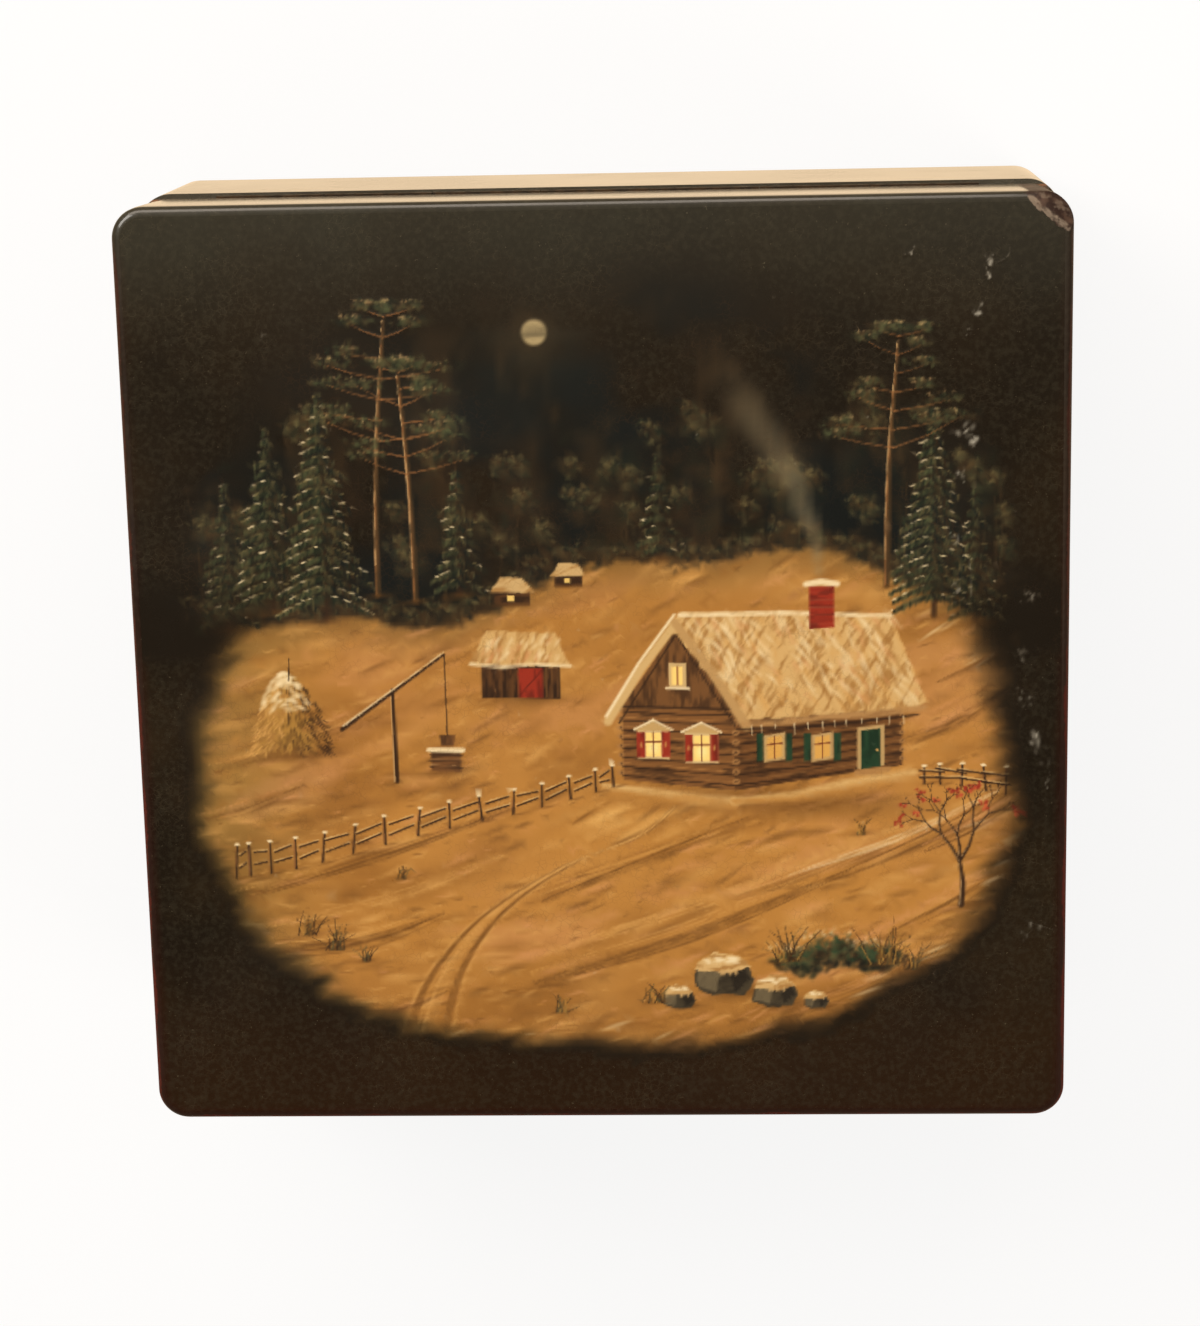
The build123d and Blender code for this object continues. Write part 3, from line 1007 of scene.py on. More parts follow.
def paintSnow():
    deep = hill(dotX) - dotY
    field = ramp(deep + (cloud(4, 3, shift=44) - 0.5) * 3.5, -1.2, 1.6) * oval
    cover(field, "snow", 0.35)
    for *how, low, strength, color in (
        (20, 3, 2, 18, 14, 0.42, 0.8, "bright"), (17, 4, 2.4, 20, 71, 0.5, 0.8, "shade"),
        (9, 4, 3, 16, 92, 0.55, 0.5, "blush"),
    ):
        cover(field * ramp(cloud(*how), low, 0.75) * strength, color)
    cover(field * (1 - ramp(deep, 0, 7)) * 0.75, "hillShade")
    cover(field * ramp(dotY, -20, 2) * 0.3, "shade")
    cover(field * ramp(-dotY, 36, 62) * 0.45, "shade")
    cover(field * ramp(-dotX, 40, 66) * 0.55, "leftShade")
    for _ in range(picture["strokes"]):
        x, y = draw(-67, 69), draw(-65, 20)
        if y > hill(x) - 0.8:
            continue
        long = 0.7 + 4.6 * chance() ** 1.8
        i, j = int((y + half[1]) * picture["dots"]), int((x + half[0]) * picture["dots"])
        wide = max(long * draw(0.1, 0.26), 0.22)
        turn, color = drift(x, y) + stray(7), oneOf("bright bright snow snow shade shade rut blush")
        dab(x, y, long, wide, turn, color, oval[i, j] * draw(0.12, 0.52), 0.7, 0.3 + 0.5 * chance())
    for points, wide, color, strength in scenery["drifts"]:
        brushed(points, wide, color, strength)
        if color == "rut":
            lit = np.array(points) + (-0.4, wide * 0.75)
            brushed(lit, wide * 0.6, "blush" if chance() < 0.5 else "bright", strength * 0.8, 6)


# The ends of strokes that break up at the picture's rim.
def paintRimStrokes():
    for _ in range(picture["rimStrokes"]):
        a = draw(-1.9, 0.75) if chance() < 0.75 else draw(-math.pi, -1.2)
        far = draw(0.88, 0.985)
        c, s = math.cos(a), math.sin(a)
        x = 1 + 67.5 * far * np.sign(c) * abs(c) ** 0.83
        y = -19 + 45.0 * far * np.sign(s) * abs(s) ** 0.83
        if y > hill(x) - 2:
            continue
        color, long, wide = oneOf("blush blush rut shade bright cream"), draw(1.4, 4.2), draw(0.25, 0.6)
        dab(x, y, long, wide, drift(x, y) + dice.normal(4, 6), color, draw(0.15, 0.45), 0.7, 0.7)


# The road, two ruts between low banks.
def paintRoad():
    curve = along(scenery["road"], 60)
    spread = np.linspace(0.5, 7.5, 60)[:, None]
    for side in (-1, 1):
        for k in range(10):
            line = curve + side * spread * (0.36 + 0.022 * k) * (1, 0.35) + stray(0.05, (60, 2))
            stroke(line, (0.2, 0.7), "rut" if k % 3 else "shade", 0.35, 0.9, 0.5, 0.5)
        stroke(curve + side * spread * 0.64 * (1, 0.35), (0.2, 1.2), "bright", 0.5, 0.9, 0.8, 0.6)
    for _ in range(7):
        stroke(curve + draw(-0.28, 0.28) * spread * (1, 0.35), (0.2, 0.9), "bright", 0.3, 0.9, 0.6, 0.6)


def firTree(x, base, tall, lit=0.7, far=0.0):
    trunk = [(x, base), (x + 0.2, base + tall * 0.5), (x, base + tall)]
    stroke(trunk, (0.9 + tall * 0.015, 0.5, 0.15), "logDark", 0.8 - far, 0.6, 0.3)
    dent(x, base - 0.4, tall * 0.2, 0.9, 6, 0.5, thick=0.4)
    tiers = int(tall / 1.7)
    for k in range(tiers):
        f = k / (tiers - 1)
        top = base + tall * (0.97 - 0.87 * f)
        for way in (-1, 1):
            reach = (0.6 + tall * 0.21 * f ** 0.85) * draw(0.72, 1.15)
            needles = "fir fir olive firLight" if way < 0 else "fir night umber olive"
            steps = max(int(reach / 0.4), 3)
            for j in range(steps * 3):
                g = j // 3 / steps
                long = (1.5 - g * 0.7) * draw(0.5, 1.0)
                px, py = x + way * reach * g, top - reach * 0.42 * g ** 1.5 - long * 0.3
                turn = (-62 - 22 * g if way > 0 else 242 + 22 * g) + stray(12)
                dab(px, py, long, 0.28, turn, oneOf(needles), 0.6 - far, 0.7, 0.3)
            for _ in range(int(steps * lit * (1.0 if way < 0 else 0.55))):
                g = draw(0.15, 1.0)
                px, py = x + way * reach * g, top - reach * 0.42 * g ** 1.5 + 0.25
                long, turn = draw(0.3, 0.8), -way * 24 * g + stray(10)
                color = "cream" if chance() < 0.4 else "moss"
                dab(px, py, long, 0.19, turn, color, draw(0.25, 0.75), 0.6, 0.8)


# A tall pine, bare below, its crown in flat clumps.
def pineTree(x, base, tall, lean):
    trunk = along([(x, base), (x + lean * 0.2, base + tall * 0.45), (x + lean, base + tall * 0.95)], 14)
    stroke(trunk, (1.3, 0.9, 0.4), "earth", 0.95, 0.5, 0.5)
    stroke(trunk - (0.22, 0), (0.4, 0.45, 0.2), "bark", 0.8, 0.6, 0.7, 0.5)
    stroke(trunk[2:] - (0.36, 0), (0.2, 0.26, 0.1), "barkLit", 0.85, 0.6, 0.8, 0.7)
    for k in range(7):
        f = 0.5 + 0.5 * (k + 0.5) / 7
        sx, y = x + lean * f, base + tall * f
        for way in (-1, 1):
            if chance() < 0.2:
                continue
            long = tall * 0.2 * (1.25 - f) * 1.9 * draw(0.6, 1.1)
            lift = long * draw(0.1, 0.5)
            branch = [(sx, y), (sx + way * long * 0.5, y + lift * 0.4), (sx + way * long, y + lift)]
            stroke(branch, (0.35, 0.25, 0.12), "bark", 0.7, 0.6, 0.6)
            px, py = sx + way * long * 0.85, y + lift + 0.3
            foliage(px, py, long * 0.5 + 0.8, 1.1, 46, "fir olive firLight earth", 0.65, 0.65)
            px, py = sx + way * long * 0.8 - 0.3, y + lift + 1.0
            foliage(px, py, long * 0.42 + 0.5, 0.5, 16, "moss firLight barkLit", 0.4, 0.6)
    foliage(x + lean, base + tall, 2.4, 1.5, 60, "fir olive firLight", 0.65, 0.65)
    foliage(x + lean - 0.3, base + tall + 0.9, 1.7, 0.6, 16, "moss barkLit", 0.4, 0.6)
    dent(x, base - 0.3, 3.4, 0.7, 8, 0.5, thick=0.4)


# Low brown bushes along the wood's edge, and the trees.
def paintTrees():
    for x in np.arange(-63, 66, 3.4):
        base = float(hill(x)) + draw(-0.4, 1.2)
        wide, tall = draw(3.0, 5.5), draw(1.4, 3.4)
        foliage(x, base + tall * 0.5, wide, tall, 60, "umber earth earth night", 1.1, 0.5)
        px, py = x - 0.7, base + tall * 0.9
        foliage(px, py, wide * 0.7, tall * 0.6, 34, "olive earth moss fir", 0.6, 0.42)
        for _ in range(3):
            bx = x + draw(-0.6, 0.6) * wide
            twig = [(bx, base), (bx + stray(0.8), base + tall * 1.4)]
            stroke(twig, (0.22, 0.08), "olive", 0.4, 0.7, 0.4)
    for kind, *sizes in scenery["trees"]:
        (pineTree if kind == "pine" else firTree)(*sizes)


# A small far hut under snow.
def hut(x, y, wide, tall):
    patch(slab(x - wide, x + wide, y, y + tall), "logDark", 0.95, 0.25, 0.4, 0, "log")
    eave, ridge = y + tall * 0.9, y + tall * 2.0
    left, right = x - wide * 1.25, x + wide * 1.25
    roof = [(left, eave), (right, eave), (x + wide * 0.6, ridge), (x - wide * 0.7, ridge)]
    patch(roof, "hutRoof", 0.95, 0.3, 0.7, 20, "shade", 0.5)
    patch(slab(x - wide * 0.3, x + wide * 0.1, y + tall * 0.3, y + tall * 0.7), "glow", 0.9, 0.2, 0.6)
    dent(x, y - 0.1, wide * 1.4, 0.5, 0)


def smoke(x, y):
    for k in range(60):
        f = k / 60
        r = 0.7 + 3.4 * f
        px, py = x - 12 * f ** 1.5 + stray(0.2 + 1.2 * f), y + 26 * f + stray(0.4)
        dab(px, py, r * 1.3, r, 120, "smoke", 0.17 * (1 - f) ** 0.7, 0.9, 0.2)


# A window with its carved frame, two shutters and a ledge of snow.
def shutteredWindow(x, y, w, h):
    middle, left, right = x + w * 0.5, x - w * 0.55, x + w * 1.55
    patch(panel(left, right, y - 0.25, y - 0.35, y + h + 0.3, y + h + 0.4), "frame", 0.95, 0.2, 0.8)
    patch(slab(x, x + w, y, y + h), "glow", 1, 0.2, 0.6)
    dab(middle, y + h * 0.35, w * 0.5, h * 0.4, 0, "lamp", 0.7, 0.9, 0.6)
    stroke([(middle, y), (middle, y + h)], 0.24, "brickDark", 0.9)
    stroke([(x, y + h * 0.62), (x + w, y + h * 0.62)], 0.22, "brickDark", 0.9)
    for side in (-1, 1):
        mid = middle + side * (w * 0.5 + 0.6)
        shutter = slab(mid - 0.5, mid + 0.5, y - 0.1, y + h + 0.1)
        patch(shutter, "brick", 1, 0.16, 0.7, 90, "brickDark")
        dab(mid, y + h * 0.5, 0.22, 0.5, 0, "bright", 0.7, 0.6, 0.8)
    top = y + h
    patch([(x - w * 0.7, top + 0.3), (x + w * 1.7, top + 0.2), (middle, top + 1.5)], "ledge", 0.95, 0.2, 0.8)
    peak = (middle, top + 1.65)
    stroke([(x - w * 0.75, top + 0.45), peak], 0.36, "cream", 0.95, 0.5, 1.0)
    stroke([peak, (x + w * 1.75, top + 0.35)], 0.36, "cream", 0.85, 0.5, 1.0)


def logWalls():
    patch(panel(27, 48, -12.5, -9.4, -0.4, -2), "log", 1, 0.2, 0.5, 5, "logDark")
    patch(panel(13, 27, -11, -12.5, -2, -1.5), "logWarm", 1, 0.2, 0.5, -6, "logDark")
    patch([(13, -1.5), (27, -2), (20, 8.6)], "gable", 1, 0.2, 0.5, 90, "logDark")
    for k in range(8):
        f = (k + 0.5) / 8
        for x0, y0, x1, y1, shine in (
            (27, -12.5 + f * 10.5, 48, -9.4 + f * 9, 150), (13, -11 + f * 9.5, 27, -12.5 + f * 10.5, 180)
        ):
            seam = [(x0, y0), ((x0 + x1) / 2, (y0 + y1) / 2 + stray(0.08)), (x1, y1)]
            stroke(seam, (0.3, 0.24), "logDark", 0.85, 0.6, 0.3)
            lit = (shine, shine * 0.69, shine * 0.37)
            stroke([(x0 + 0.2, y0 + 0.45), (x1 - 0.2, y1 + 0.42)], (0.32, 0.24), lit, 0.6, 0.8, 0.7, 0.7)
    stroke([(13, -1.5), (27, -2)], 0.5, "logDark", 0.8, 0.6, 0.4)
    for k in range(8):
        y = -12.0 + (k + 0.5) / 8 * 10.2
        for x, dy, r in ((27.2, 0, 0.56), (12.8, 1.3 - k * 0.1, 0.48), (48, 2.9 - k * 0.16, 0.42)):
            dab(x, y + dy, r, r * 0.9, 0, "logEnd", 0.95, 0.4, 0.8)
            dab(x, y + dy, r * 0.4, r * 0.36, 0, "logDark", 0.7, 0.6, 0.5)


def cabinRoof():
    snow = [(19, 8.9), (20.6, 10.4), (46.5, 9.8), (51.2, -1.2), (49.6, -2), (28.4, -3.4)]
    patch(snow, "roof", 1, 0.35, 0.9, 62, "shade", 0.9)
    for _ in range(260):
        f, g = chance(), chance()
        x = 21 + f * 26 + (1 - g) * (7 - 3 * f)
        y = 9.6 - (1 - g) * (11.6 - 0.8 * f)
        if chance() < 0.2 + 0.55 * g:
            color = "cream"
        else:
            color = "bright" if chance() < 0.5 else "blush" if chance() < 0.5 else "shade"
        dab(x, y, draw(0.8, 2.2), draw(0.25, 0.5), -58 + stray(10), color, 0.45, 0.8, 1.0)
    for points, widths, *how in (
        ([(20.4, 10.2), (33, 10.3), (46.6, 9.8)], (0.8, 0.9, 0.7), "cream", 0.9, 0.6, 1.0, 0.3),
        ([(11.2, -3.4), (15.4, 3.2), (19.8, 9.0)], (1.4, 1.3, 1.3), "verge", 1, 0.45, 0.9),
        ([(11.0, -2.7), (15.2, 4.1), (19.7, 10.2)], (0.6, 0.5, 0.5), "cream", 0.95, 0.6, 1.0),
        ([(19.8, 9.2), (24.4, 2.7), (28.6, -4.2)], (1.3, 1.4, 1.6), "vergeShade", 1, 0.45, 0.9),
        ([(12.6, -3.6), (19.9, 7.7), (27.2, -4.2)], 0.3, "logDark", 0.85, 0.6, 0.3),
        (
            [(28.2, -3.9), (33, -3.7), (38, -3.1), (44, -2.8), (50.8, -2.0)], (1.0, 1.4, 1.0, 1.3, 1.0),
            "eave", 0.95, 0.6, 0.8, 0.3,
        ),
        ([(27.4, -4.6), (38, -4.2), (50, -2.9)], (0.45, 0.5, 0.4), "logDark", 0.75, 0.7, 0.3),
    ):
        stroke(points, widths, *how)
    for k in range(12):
        x, y = 29 + k * 1.75 + draw(-0.4, 0.4), -4.2 + k * 0.1
        stroke([(x, y), (x + 0.05, y - draw(0.5, 1.5))], (0.28, 0.05), "cream", 0.7, 0.6, 0.9)
    patch(panel(36.5, 39.6, 8.2, 8.4, 13.6, 13.6), "brick", 1, 0.2, 0.6, 0, "brickDark")
    for k in range(5):
        stroke([(36.5, 8.9 + k), (39.6, 8.9 + k)], 0.14, "mortar", 0.5, 0.6, 0.7)
    stroke([(36.1, 13.9), (38, 14.2), (40.0, 13.9)], (0.9, 1.1, 0.9), "cream", 0.95, 0.5, 1.0)


def cabinOpenings():
    shutteredWindow(15.9, -8.0, 1.9, 3.1)
    shutteredWindow(21.9, -8.6, 2.0, 3.3)
    patch(panel(18.9, 21.1, 1.0, 0.9, 4.0, 4.1), "atticFrame", 0.95, 0.2, 0.8)
    patch(panel(19.3, 20.7, 1.3, 1.25, 3.6, 3.65), "glow", 0.95, 0.2, 0.6)
    stroke([(20, 1.3), (20, 3.6)], 0.2, "brickDark", 0.9)
    stroke([(18.6, 0.85), (21.4, 0.75)], 0.45, "cream", 0.9, 0.5, 0.9)
    patch(panel(42.4, 45.8, -9.9, -9.4, -4.1, -4.5), "trim", 1, 0.2, 0.7)
    patch(panel(42.9, 45.3, -9.9, -9.5, -4.6, -4.9), "green", 1, 0.2, 0.6, 90, "doorDark")
    dab(44.9, -7.4, 0.22, 0.22, 0, "bright", 0.9, 0.5, 0.9)
    patch(panel(42.0, 46.6, -10.9, -10.2, -9.5, -10.0), "step", 1, 0.2, 0.7)
    for x in (31.0, 37.0):
        patch(panel(x - 0.3, x + 2.4, -8.9, -8.5, -5.0, -5.4), "trim", 1, 0.2, 0.6)
        patch(panel(x + 0.1, x + 2.0, -8.5, -8.2, -5.4, -5.7), "amber", 0.95, 0.2, 0.5)
        stroke([(x + 1.05, -8.4), (x + 1.05, -5.5)], 0.2, "brickDark", 0.9)
        stroke([(x + 0.1, -6.6), (x + 2.0, -6.4)], 0.2, "brickDark", 0.9)
        for side in (-0.8, 2.9):
            shutter = panel(x + side - 0.42, x + side + 0.42, -8.8, -8.7, -5.1, -5.2)
            patch(shutter, "green", 1, 0.16, 0.7, 90, "shutterDark")


# A log house, its gable to the left front and its long wall to the right, with snow against it.
def cabin():
    dent(31, -13.8, 25, 3.0, -3, 0.65, thick=0.4)
    logWalls()
    cabinRoof()
    cabinOpenings()
    for points in (
        [(10.5, -11.6), (16, -12.6), (22, -13.0), (27, -13.8)],
        [(27, -13.6), (34, -13.0), (41, -11.8), (49.5, -10.4)]
    ):
        for k in range(5):
            line = np.array(points) + stray(0.22, (4, 2)) - (0, 0.2 * k)
            stroke(line, (0.9, 1.7, 1.2), "bank" if k < 3 else "snow", 0.6, 0.8, 0.8, 0.4)


# A shed of upright planks, left of the house.
def barn():
    dent(0, -2.8, 9.0, 1.3, 2, thick=0.4)
    patch([(-6, -2.4), (5, -2.6), (5, 2.6), (-6, 3)], "logDark", 1, 0.2, 0.4, 90, "log")
    for k in range(14):
        x = -5.7 + k * 0.8
        stroke([(x, -2.3), (x, 2.8)], 0.2, "plank", 0.7, 0.7, 0.6)
    patch(panel(-0.8, 2.6, -2.4, -2.5, 1.8, 1.9), "brick", 1, 0.2, 0.6, 90, "brickDark")
    stroke([(-0.8, -2.2), (2.6, 1.6)], 0.25, "brickDark", 0.8, 0.6)
    roof = [(-7.6, 2.4), (6.6, 2.0), (4.4, 6.8), (-5.2, 7.2)]
    patch(roof, "barnRoof", 1, 0.35, 0.9, 70, "shade", 0.7)
    for _ in range(50):
        g = chance()
        x, y = -5.6 + chance() * 10.5, 2.8 + g * 3.8
        long, turn = draw(0.6, 1.4), 62 + stray(10)
        dab(x, y, long, 0.35, turn, "cream" if chance() < 0.3 + 0.5 * g else "blush", 0.45, 0.8, 1.0)
    rim = [(-7.4, 2.5), (-3, 2.0), (1, 2.4), (6.5, 2.1)]
    stroke(rim, (0.7, 0.9, 0.7, 0.7), "cream", 0.85, 0.6, 1.0, 0.3)


# A draw well with its long sweep.
def well():
    dent(-1, -1.9, 5.5, 0.8, 6, thick=0.4)
    patch(panel(-2.1, 2.1, -1.6, -1.8, 1.2, 1.3), "log", 1, 0.2, 0.5, 0, "logDark")
    for k in range(3):
        y = k * 0.9
        stroke([(-2.3, -1.0 + y), (2.3, -1.15 + y)], 0.24, "logDark", 0.8, 0.6)
        stroke([(-2.2, -0.7 + y), (2.2, -0.85 + y)], 0.16, "barkLit", 0.5, 0.6, 0.7, 0.5)
    stroke([(-2.4, 1.5), (2.4, 1.4)], (0.8, 0.9), "cream", 0.95, 0.5, 1.0)
    stroke([(-7, -3), (-7.2, 10.2)], (0.9, 0.6), "logDark", 0.95, 0.5, 0.6)
    stroke([(-7.3, -3), (-7.5, 10.2)], (0.25, 0.2), "barkLit", 0.7, 0.7, 0.7)
    stroke([(-14.5, 4.6), (0.2, 15.2)], (0.85, 0.4), "logDark", 0.95, 0.5, 0.6)
    stroke([(-14.3, 5.1), (0.1, 15.5)], (0.4, 0.25), "cream", 0.75, 0.6, 0.9, 0.5)
    stroke([(0.2, 15.2), (0.3, 3.4)], 0.22, "logDark", 0.85, 0.6, 0.4)
    patch([(-0.6, 2.0), (1.2, 2.0), (1.4, 3.6), (-0.8, 3.6)], "log", 1, 0.2, 0.6, 90, "logDark")


def haystack(x, y, wide, tall):
    dent(x + 2, y - tall * 0.46, wide * 1.35, 1.2, 4, 0.7, thick=0.4)
    foliage(x, y - tall * 0.2, wide * 0.7, tall * 0.3, 60, "strawDark straw", 1.6, 0.6)
    for _ in range(620):
        f = chance()
        px = x + draw(-1, 1) * wide * (1 - f ** 1.7) ** 0.7
        side = (px - x) / wide + stray(0.3)
        color = "logDark" if side > 0.55 else "strawDark" if side > 0.15 else "straw"
        if side <= -0.45:
            color = "bright"
        long, turn = draw(0.5, 1.4), 90 - (px - x) * -9 + stray(12)
        dab(px, y - tall * 0.45 + f * tall, long, 0.15, turn, color, 0.65, 0.6, 0.7)
    for _ in range(110):
        f = draw(0.5, 1.0)
        px = x - wide * 0.12 + draw(-1, 1) * wide * (1 - f ** 1.7) ** 0.7 * 0.85
        py = y - tall * 0.42 + f * tall + 0.4
        dab(px, py, draw(0.5, 1.2), 0.4, (px - x) * -12, "cream", 0.5, 0.8, 1.0)
    stroke([(x, y + tall * 0.5), (x + 0.2, y + tall * 0.78)], (0.35, 0.2), "logDark", 0.9, 0.5, 0.6)


# Split rails on leaning posts.
def fence(points, tall, posts):
    line = along(points, posts)
    sizes = [tall * (0.75 + 0.5 * k / (posts - 1)) for k in range(posts)]
    for (x, y), size in zip(line, sizes):
        lean = stray(0.28)
        dent(x + 1.0, y - 0.1, 1.8, 0.3, 12, 0.55, 0.8)
        stroke([(x, y), (x + lean, y + size)], (0.6, 0.42), "logDark", 0.95, 0.5, 0.6)
        stroke([(x - 0.18, y), (x + lean - 0.18, y + size)], (0.18, 0.14), "bark", 0.75, 0.7, 0.7)
        dab(x + lean, y + size + 0.1, 0.55, 0.32, 0, "cream", 0.95, 0.5, 1.0)
    for (ax, ay), (bx, by), size in zip(line, line[1:], sizes):
        for level in (0.35, 0.72):
            sag = stray(0.16)
            low, high = ay + size * level + sag, by + size * level - sag
            stroke([(ax - 0.7, low), (bx + 0.7, high)], (0.42, 0.34), "logDark", 0.92, 0.5, 0.6)
            lit = [(ax - 0.5, low + 0.26), (bx + 0.5, high + 0.26)]
            stroke(lit, 0.24, "rail", 0.75, 0.6, 0.9, 0.6)


def paintYard():
    for sizes in scenery["huts"]:
        hut(*sizes)
    for motif, name in ((cabin, "cabin"), (barn, "barn"), (well, "well")):
        easel["x"], easel["y"], easel["scale"] = scenery[name]
        if name == "cabin":
            smoke(*scenery["smoke"])
        motif()
    easel.update(x=0.0, y=0.0, scale=1.0)
    for _ in range(14):
        x, y = 6 + stray(5), -22 - abs(stray(3))
        dab(x, y, draw(3, 7), 0.9, drift(0, -22) + stray(4), "yard", 0.22, 0.9, 0.6)
    haystack(*scenery["haystack"])
    for points, tall, posts in scenery["fences"]:
        fence(points, tall, posts)


# A leafless tree with berries, each branch splitting in two.
def bareTree(x, y, tall, turn, wide, depth=0):
    c, s = heading(turn)
    tipX, tipY = x + c * tall, y + s * tall
    midX, midY = (x + tipX) / 2 + stray(0.06) * tall, (y + tipY) / 2
    stroke([(x, y), (midX, midY), (tipX, tipY)], (wide, wide * 0.8, wide * 0.55), "logDark", 0.92)
    if wide > 0.2:
        lit = [(x - wide * 0.22, y), (midX - wide * 0.2, midY), (tipX - wide * 0.15, tipY)]
        stroke(lit, (wide * 0.3, wide * 0.2, wide * 0.15), "barkLit", 0.65, 0.7, 0.8, 0.5)
    if depth < 5:
        for side in (-1, 1) if depth else (-1, 0.15, 1):
            long, way = tall * draw(0.58, 0.78), turn + side * draw(16, 34)
            bareTree(tipX, tipY, long, way, max(wide * 0.6, 0.16), depth + 1)
    elif chance() < 0.4:
        for _ in range(4):
            px, py = tipX + stray(0.45), tipY - draw(0, 0.9)
            dab(px, py, 0.34, 0.32, 0, "brick" if chance() < 0.65 else "berry", 0.9, 0.4, 0.9)


def tuft(x, y, tall, blades, names):
    for _ in range(blades):
        a = math.radians(90 + stray(20))
        long = tall * draw(0.45, 1.1)
        bx = x + stray(tall * 0.16)
        mid = (bx + math.cos(a) * long * 0.5, y + math.sin(a) * long * 0.55)
        tip = (bx + math.cos(a) * long * 1.15, y + math.sin(a) * long * 0.92)
        stroke([(bx, y), mid, tip], (0.3, 0.2, 0.08), oneOf(names), 0.85, 0.6, 0.6)


# The faces of a stone of radius 1: corners, colour, strength, softness, thickness, brush marks'
# direction and colour, raggedness.
stoneFaces = [
    (
        [(-1, -0.4), (-0.4, -0.66), (0.7, -0.6), (1.02, -0.1), (0.7, 0.46), (-0.2, 0.62), (-0.86, 0.3)],
        "stone", 1, 0.2, 0.6, 12, "stoneDark", 0.22,
    ),
    (
        [(-0.9, -0.36), (-0.3, -0.5), (-0.05, 0.3), (-0.8, 0.24)],
        "stoneLit", 0.8, 0.3, 0.7, 60, "stoneEdge", 0.16,
    ),
    ([(0.35, -0.52), (0.9, -0.1), (0.66, 0.24), (0.2, 0)], "stoneShade", 0.7, 0.3, 0.4, None, None, 0.16),
    (
        [(-0.95, 0.2), (0.3, 0.14), (0.86, 0.3), (0.5, 0.66), (-0.2, 0.82), (-0.74, 0.56)],
        "stoneCap", 1, 0.2, 0.9, 8, "shade", 0.24,
    ),
]


# A stone in the snow, lit from the left and capped with snow.
def boulder(x, y, r):
    dent(x + r * 0.5, y - r * 0.55, r * 1.5, r * 0.3, 6, 0.8)
    for corners, *how, ragged in stoneFaces:
        patch([(x + r * a, y + r * b) for a, b in corners], *how, r * ragged)
    for _ in range(12):
        px, py = x + draw(-0.62, 0.45) * r, y + r * draw(0.46, 0.66)
        dab(px, py, r * draw(0.12, 0.3), r * 0.08, dice.normal(-4, 10), "cream", 0.7, 0.6, 1.0)
    for _ in range(4):
        dab(x + draw(-0.7, 0.6) * r, y + r * 0.14, r * 0.08, r * 0.14, 0, "drip", 0.8, 0.5, 0.9)


# A rowan, boulders, junipers and dry grass.
def paintForeground():
    x, y = scenery["rowan"][:2]
    dent(x + 1.5, y - 0.2, 5.5, 0.8, 12)
    bareTree(*scenery["rowan"])
    for sizes in scenery["boulders"]:
        boulder(*sizes)
    for x, y, wide, tall in scenery["junipers"]:
        foliage(x, y, wide, tall, 150, "fir night olive umber", 1.0, 0.75)
        foliage(x - 1, y + 1, wide * 0.85, tall * 0.8, 110, "firLight olive green", 0.7, 0.65)
        top = y + 2 + tall * 0.4
        foliage(x - 1.5, top, wide * 0.8, tall * 0.4, 50, "moss cream blush", 0.5, 0.6)
    for x, y, tall, blades in scenery["tufts"]:
        dent(x, y + 0.1, tall * 0.8, 0.6, 8)
        tuft(x, y, tall, blades, "earth olive logDark strawDark straw")


# The picture sinks into the lacquer at its rim.
def paintRim():
    edge = 1 - oval
    ring = ramp(edge, 0.12, 0.6) * (1 - ramp(edge, 0.5, 1.0))
    cover(ring * ramp(-dotX, -20, 50) * ramp(-dotY, -16, 10) * 0.35, "rimShade")
    sunk = ramp(edge, 0.1, 0.98) * ramp(-dotY, -20, 0)
    cover(sunk * 0.97, "ink")
    veil[:] = np.minimum(veil * 3, 1) * (1 - ramp(sunk, 0.9, 1.0))


# Old specks, scratches and dust in the lacquer over it all.
def paintWear():
    pale = wear["color"]
    for x, y, r, strength in wear["specks"]:
        for _ in range(9):
            px, py = x + stray(r * 0.8), y + stray(r)
            long, wide, turn = r * draw(0.5, 1.3), r * draw(0.3, 0.8), draw(40, 130)
            dab(px, py, long, wide, turn, pale, strength * draw(0.3, 1.0), 0.8, 0.4)
    for points, wide, strength in wear["scratches"]:
        strength *= wear["scratchStrength"]
        stroke(along(points, 12), (wide * 0.3, wide, wide * 0.3), pale, strength, 0.8, 0.4, 0.75)
    for _ in range(wear["dust"]):
        x, y = draw(-73, 73), draw(-73.5, 73.5)
        r = 0.13 + 0.22 * chance() ** 3
        dab(x, y, r, r * draw(0.5, 1.0), draw(0, 180), pale, draw(0.1, 0.42), 0.7, 0.4)


for paintStep in (
    paintGround, paintThickets, paintMoon, paintSnow, paintRimStrokes, paintRoad, paintTrees, paintYard,
    paintForeground, paintRim, paintWear
):
    paintStep()
print("picture painted")


# The picture's film, a fine mesh that carries the paint as a colour on its vertices

film = {
    "cell": 1.2,            # mm, before it is divided
    "divisions": 3,
    "slack": 0.03,          # how far the colour may stray from the paint before a cell is divided
    "relief": 0.03,         # mm, of the thickest paint
    "most": 92000,          # cells
    "uvMargin": 0.002,
    "crack": (70, 48, 28),
    "crackStrength": 0.16,
    "roughness": 0.08,      # what the paint adds to the lacquer's
}


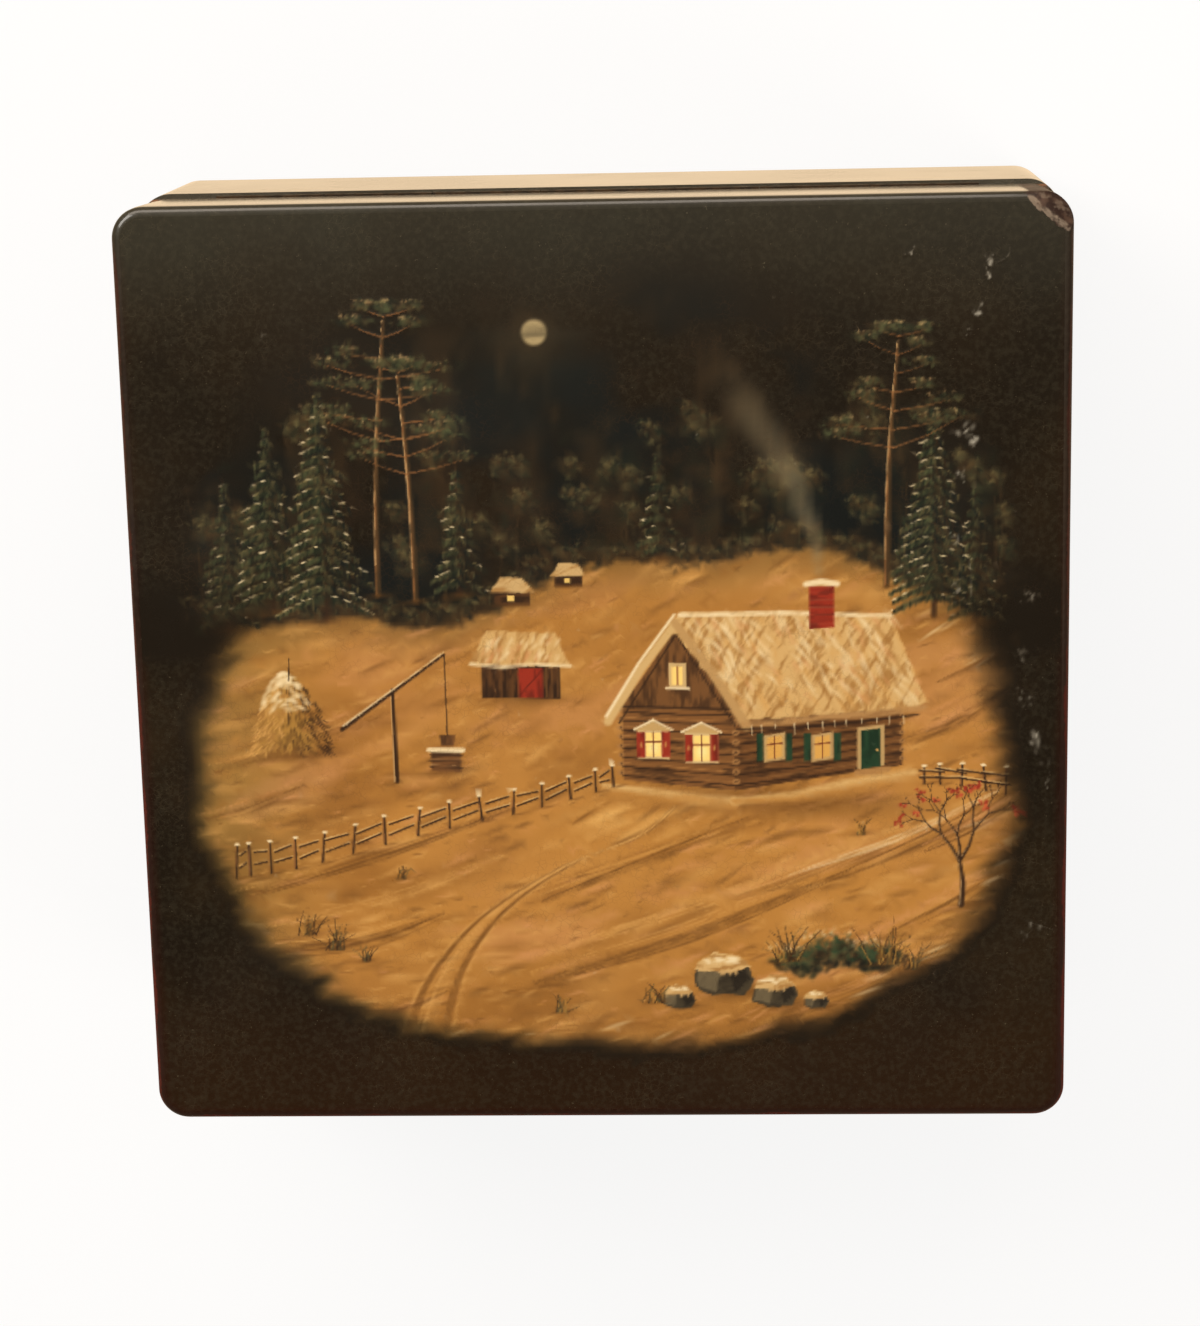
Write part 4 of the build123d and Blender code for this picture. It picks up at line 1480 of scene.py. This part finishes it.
# The chart's value at places in millimetres, between its dots.
def sample(chart, x, y):
    u = np.clip((x + picture["size"][0] / 2) * picture["dots"] - 0.5, 0, across - 1.001)
    v = np.clip((y + picture["size"][1] / 2) * picture["dots"] - 0.5, 0, upward - 1.001)
    iu, iv = u.astype(int), v.astype(int)
    fu, fv = u - iu, v - iv
    if chart.ndim == 3:
        fu, fv = fu[:, None], fv[:, None]
    low = chart[iv, iu] * (1 - fu) + chart[iv, iu + 1] * fu
    high = chart[iv + 1, iu] * (1 - fu) + chart[iv + 1, iu + 1] * fu
    return low * (1 - fv) + high * fv


# How far the paint inside each square cell is from an even blend of its corners.
def unevenness(x, y, size):
    out = size / 2
    corners = {(a, b): sample(paint, x + a * out, y + b * out) for a in (-1, 1) for b in (-1, 1)}
    worst = np.zeros(len(x))
    for a in (-0.5, 0, 0.5):
        for b in (-0.5, 0, 0.5):
            mixed = sum(corners[i, j] * (1 + i * a) * (1 + j * b) / 4 for i, j in corners)
            real = sample(paint, x + a * out, y + b * out)
            worst = np.maximum(worst, np.abs(mixed - real).mean(1))
    return worst


# Draws the sheet's square corners in to the arcs of the lid's flat.
def roundCorners(place):
    radius = (lidBoard["cornerRadius"] - lidBoard["edgeRadius"]) * mm
    core = np.array([s * mm / 2 - radius for s in picture["size"]])
    past = np.clip((np.abs(place[:, :2]) - core) / radius, 0, 1)
    drawn = past * np.sqrt(1 - past[:, ::-1] ** 2 / 2)
    place[:, :2] += np.sign(place[:, :2]) * (drawn - past) * radius


# Numbers of a mesh's vertices, faces or loops, as many to a row as each of them has.
def readAll(items, name, width=1, kind=float):
    values = np.zeros(len(items) * width, kind)
    items.foreach_get(name, values)
    return values.reshape(-1, width) if width > 1 else values


# Divides the cells in which the paint changes most.
def divideCells(sheet):
    mesh = sheet.data
    for level in range(film["divisions"]):
        centre = readAll(mesh.polygons, "center", 3) / mm
        size = np.sqrt(readAll(mesh.polygons, "area")) / mm
        finest = size < film["cell"] / 2 ** level * 1.2
        error = unevenness(centre[:, 0], centre[:, 1], size) * finest
        room = (film["most"] - len(size)) // 3
        if room <= 0:
            break
        limit = film["slack"]
        if room < len(size):
            limit = max(limit, np.sort(error)[-room])
        editPick(sheet, "FACE", error > limit)
        bpy.ops.mesh.subdivide(number_cuts=1)
        bpy.ops.object.mode_set(mode="OBJECT")
        print("picture film", level, len(mesh.polygons), "cells, limit", round(float(limit), 3))


def makeFilm():
    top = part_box("lid_panel")[1].z
    wide, deep = (s * mm for s in picture["size"])
    columns, rows = (round(s / film["cell"]) for s in picture["size"])
    bpy.ops.object.select_all(action="DESELECT")
    bpy.ops.mesh.primitive_grid_add(
        x_subdivisions=columns, y_subdivisions=rows, size=1, location=(0, 0, top)
    )
    sheet = added("lidPicture", (wide, deep, 1))
    mesh = sheet.data
    divideCells(sheet)
    point, normal = knockPlane()
    editPick(sheet, "VERT", np.ones(len(mesh.vertices)))
    bpy.ops.mesh.bisect(plane_co=point, plane_no=normal, clear_outer=True)
    bpy.ops.object.mode_set(mode="OBJECT")
    place = readAll(mesh.vertices, "co", 3)
    x, y = place[:, 0] / mm, place[:, 1] / mm
    roundCorners(place)
    place[:, 2] = top - film["relief"] * mm * (1 - np.clip(sample(thickness, x, y), 0, 1))
    mesh.vertices.foreach_set("co", place.ravel())
    stored = np.column_stack((linear(sample(paint, x, y)), sample(veil, x, y)))
    layer = mesh.color_attributes.new("paint", "FLOAT_COLOR", "POINT")
    layer.data.foreach_set("color", stored.ravel())
    flat = mesh.uv_layers[0] if mesh.uv_layers else mesh.uv_layers.new()
    flat.name = "OFBake"
    loops = readAll(mesh.loops, "vertex_index", 1, int)
    uv = place[loops, :2] / (wide, deep) + 0.5
    uv = uv * (1 - 2 * film["uvMargin"]) + film["uvMargin"]
    flat.data.foreach_set("uv", uv.ravel())
    mesh.update()
    pick(sheet)
    bpy.ops.object.shade_smooth()
    print("picture film", sum(len(face.vertices) - 2 for face in mesh.polygons), "triangles")
    return sheet


def dressFilm(tree, color, rough):
    picked = put(tree, "Attribute", attribute_name="paint", attribute_type="GEOMETRY").outputs
    cracks = placed(tree, "ageCracks", Cell=lacquer["crackCell"])["Mask"]
    crazed = blend(times(cracks, film["crackStrength"]), picked["Color"], tone(film["crack"]))
    share = picked["Alpha"]
    return blend(share, color, crazed), plus(rough, times(share, film["roughness"]))


lidPicture = makeFilm()
lidPicture.data.materials.append(lacquered("lidPainting", dressFilm))
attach(lidPicture, "lid")
print("picture laid on the lid")
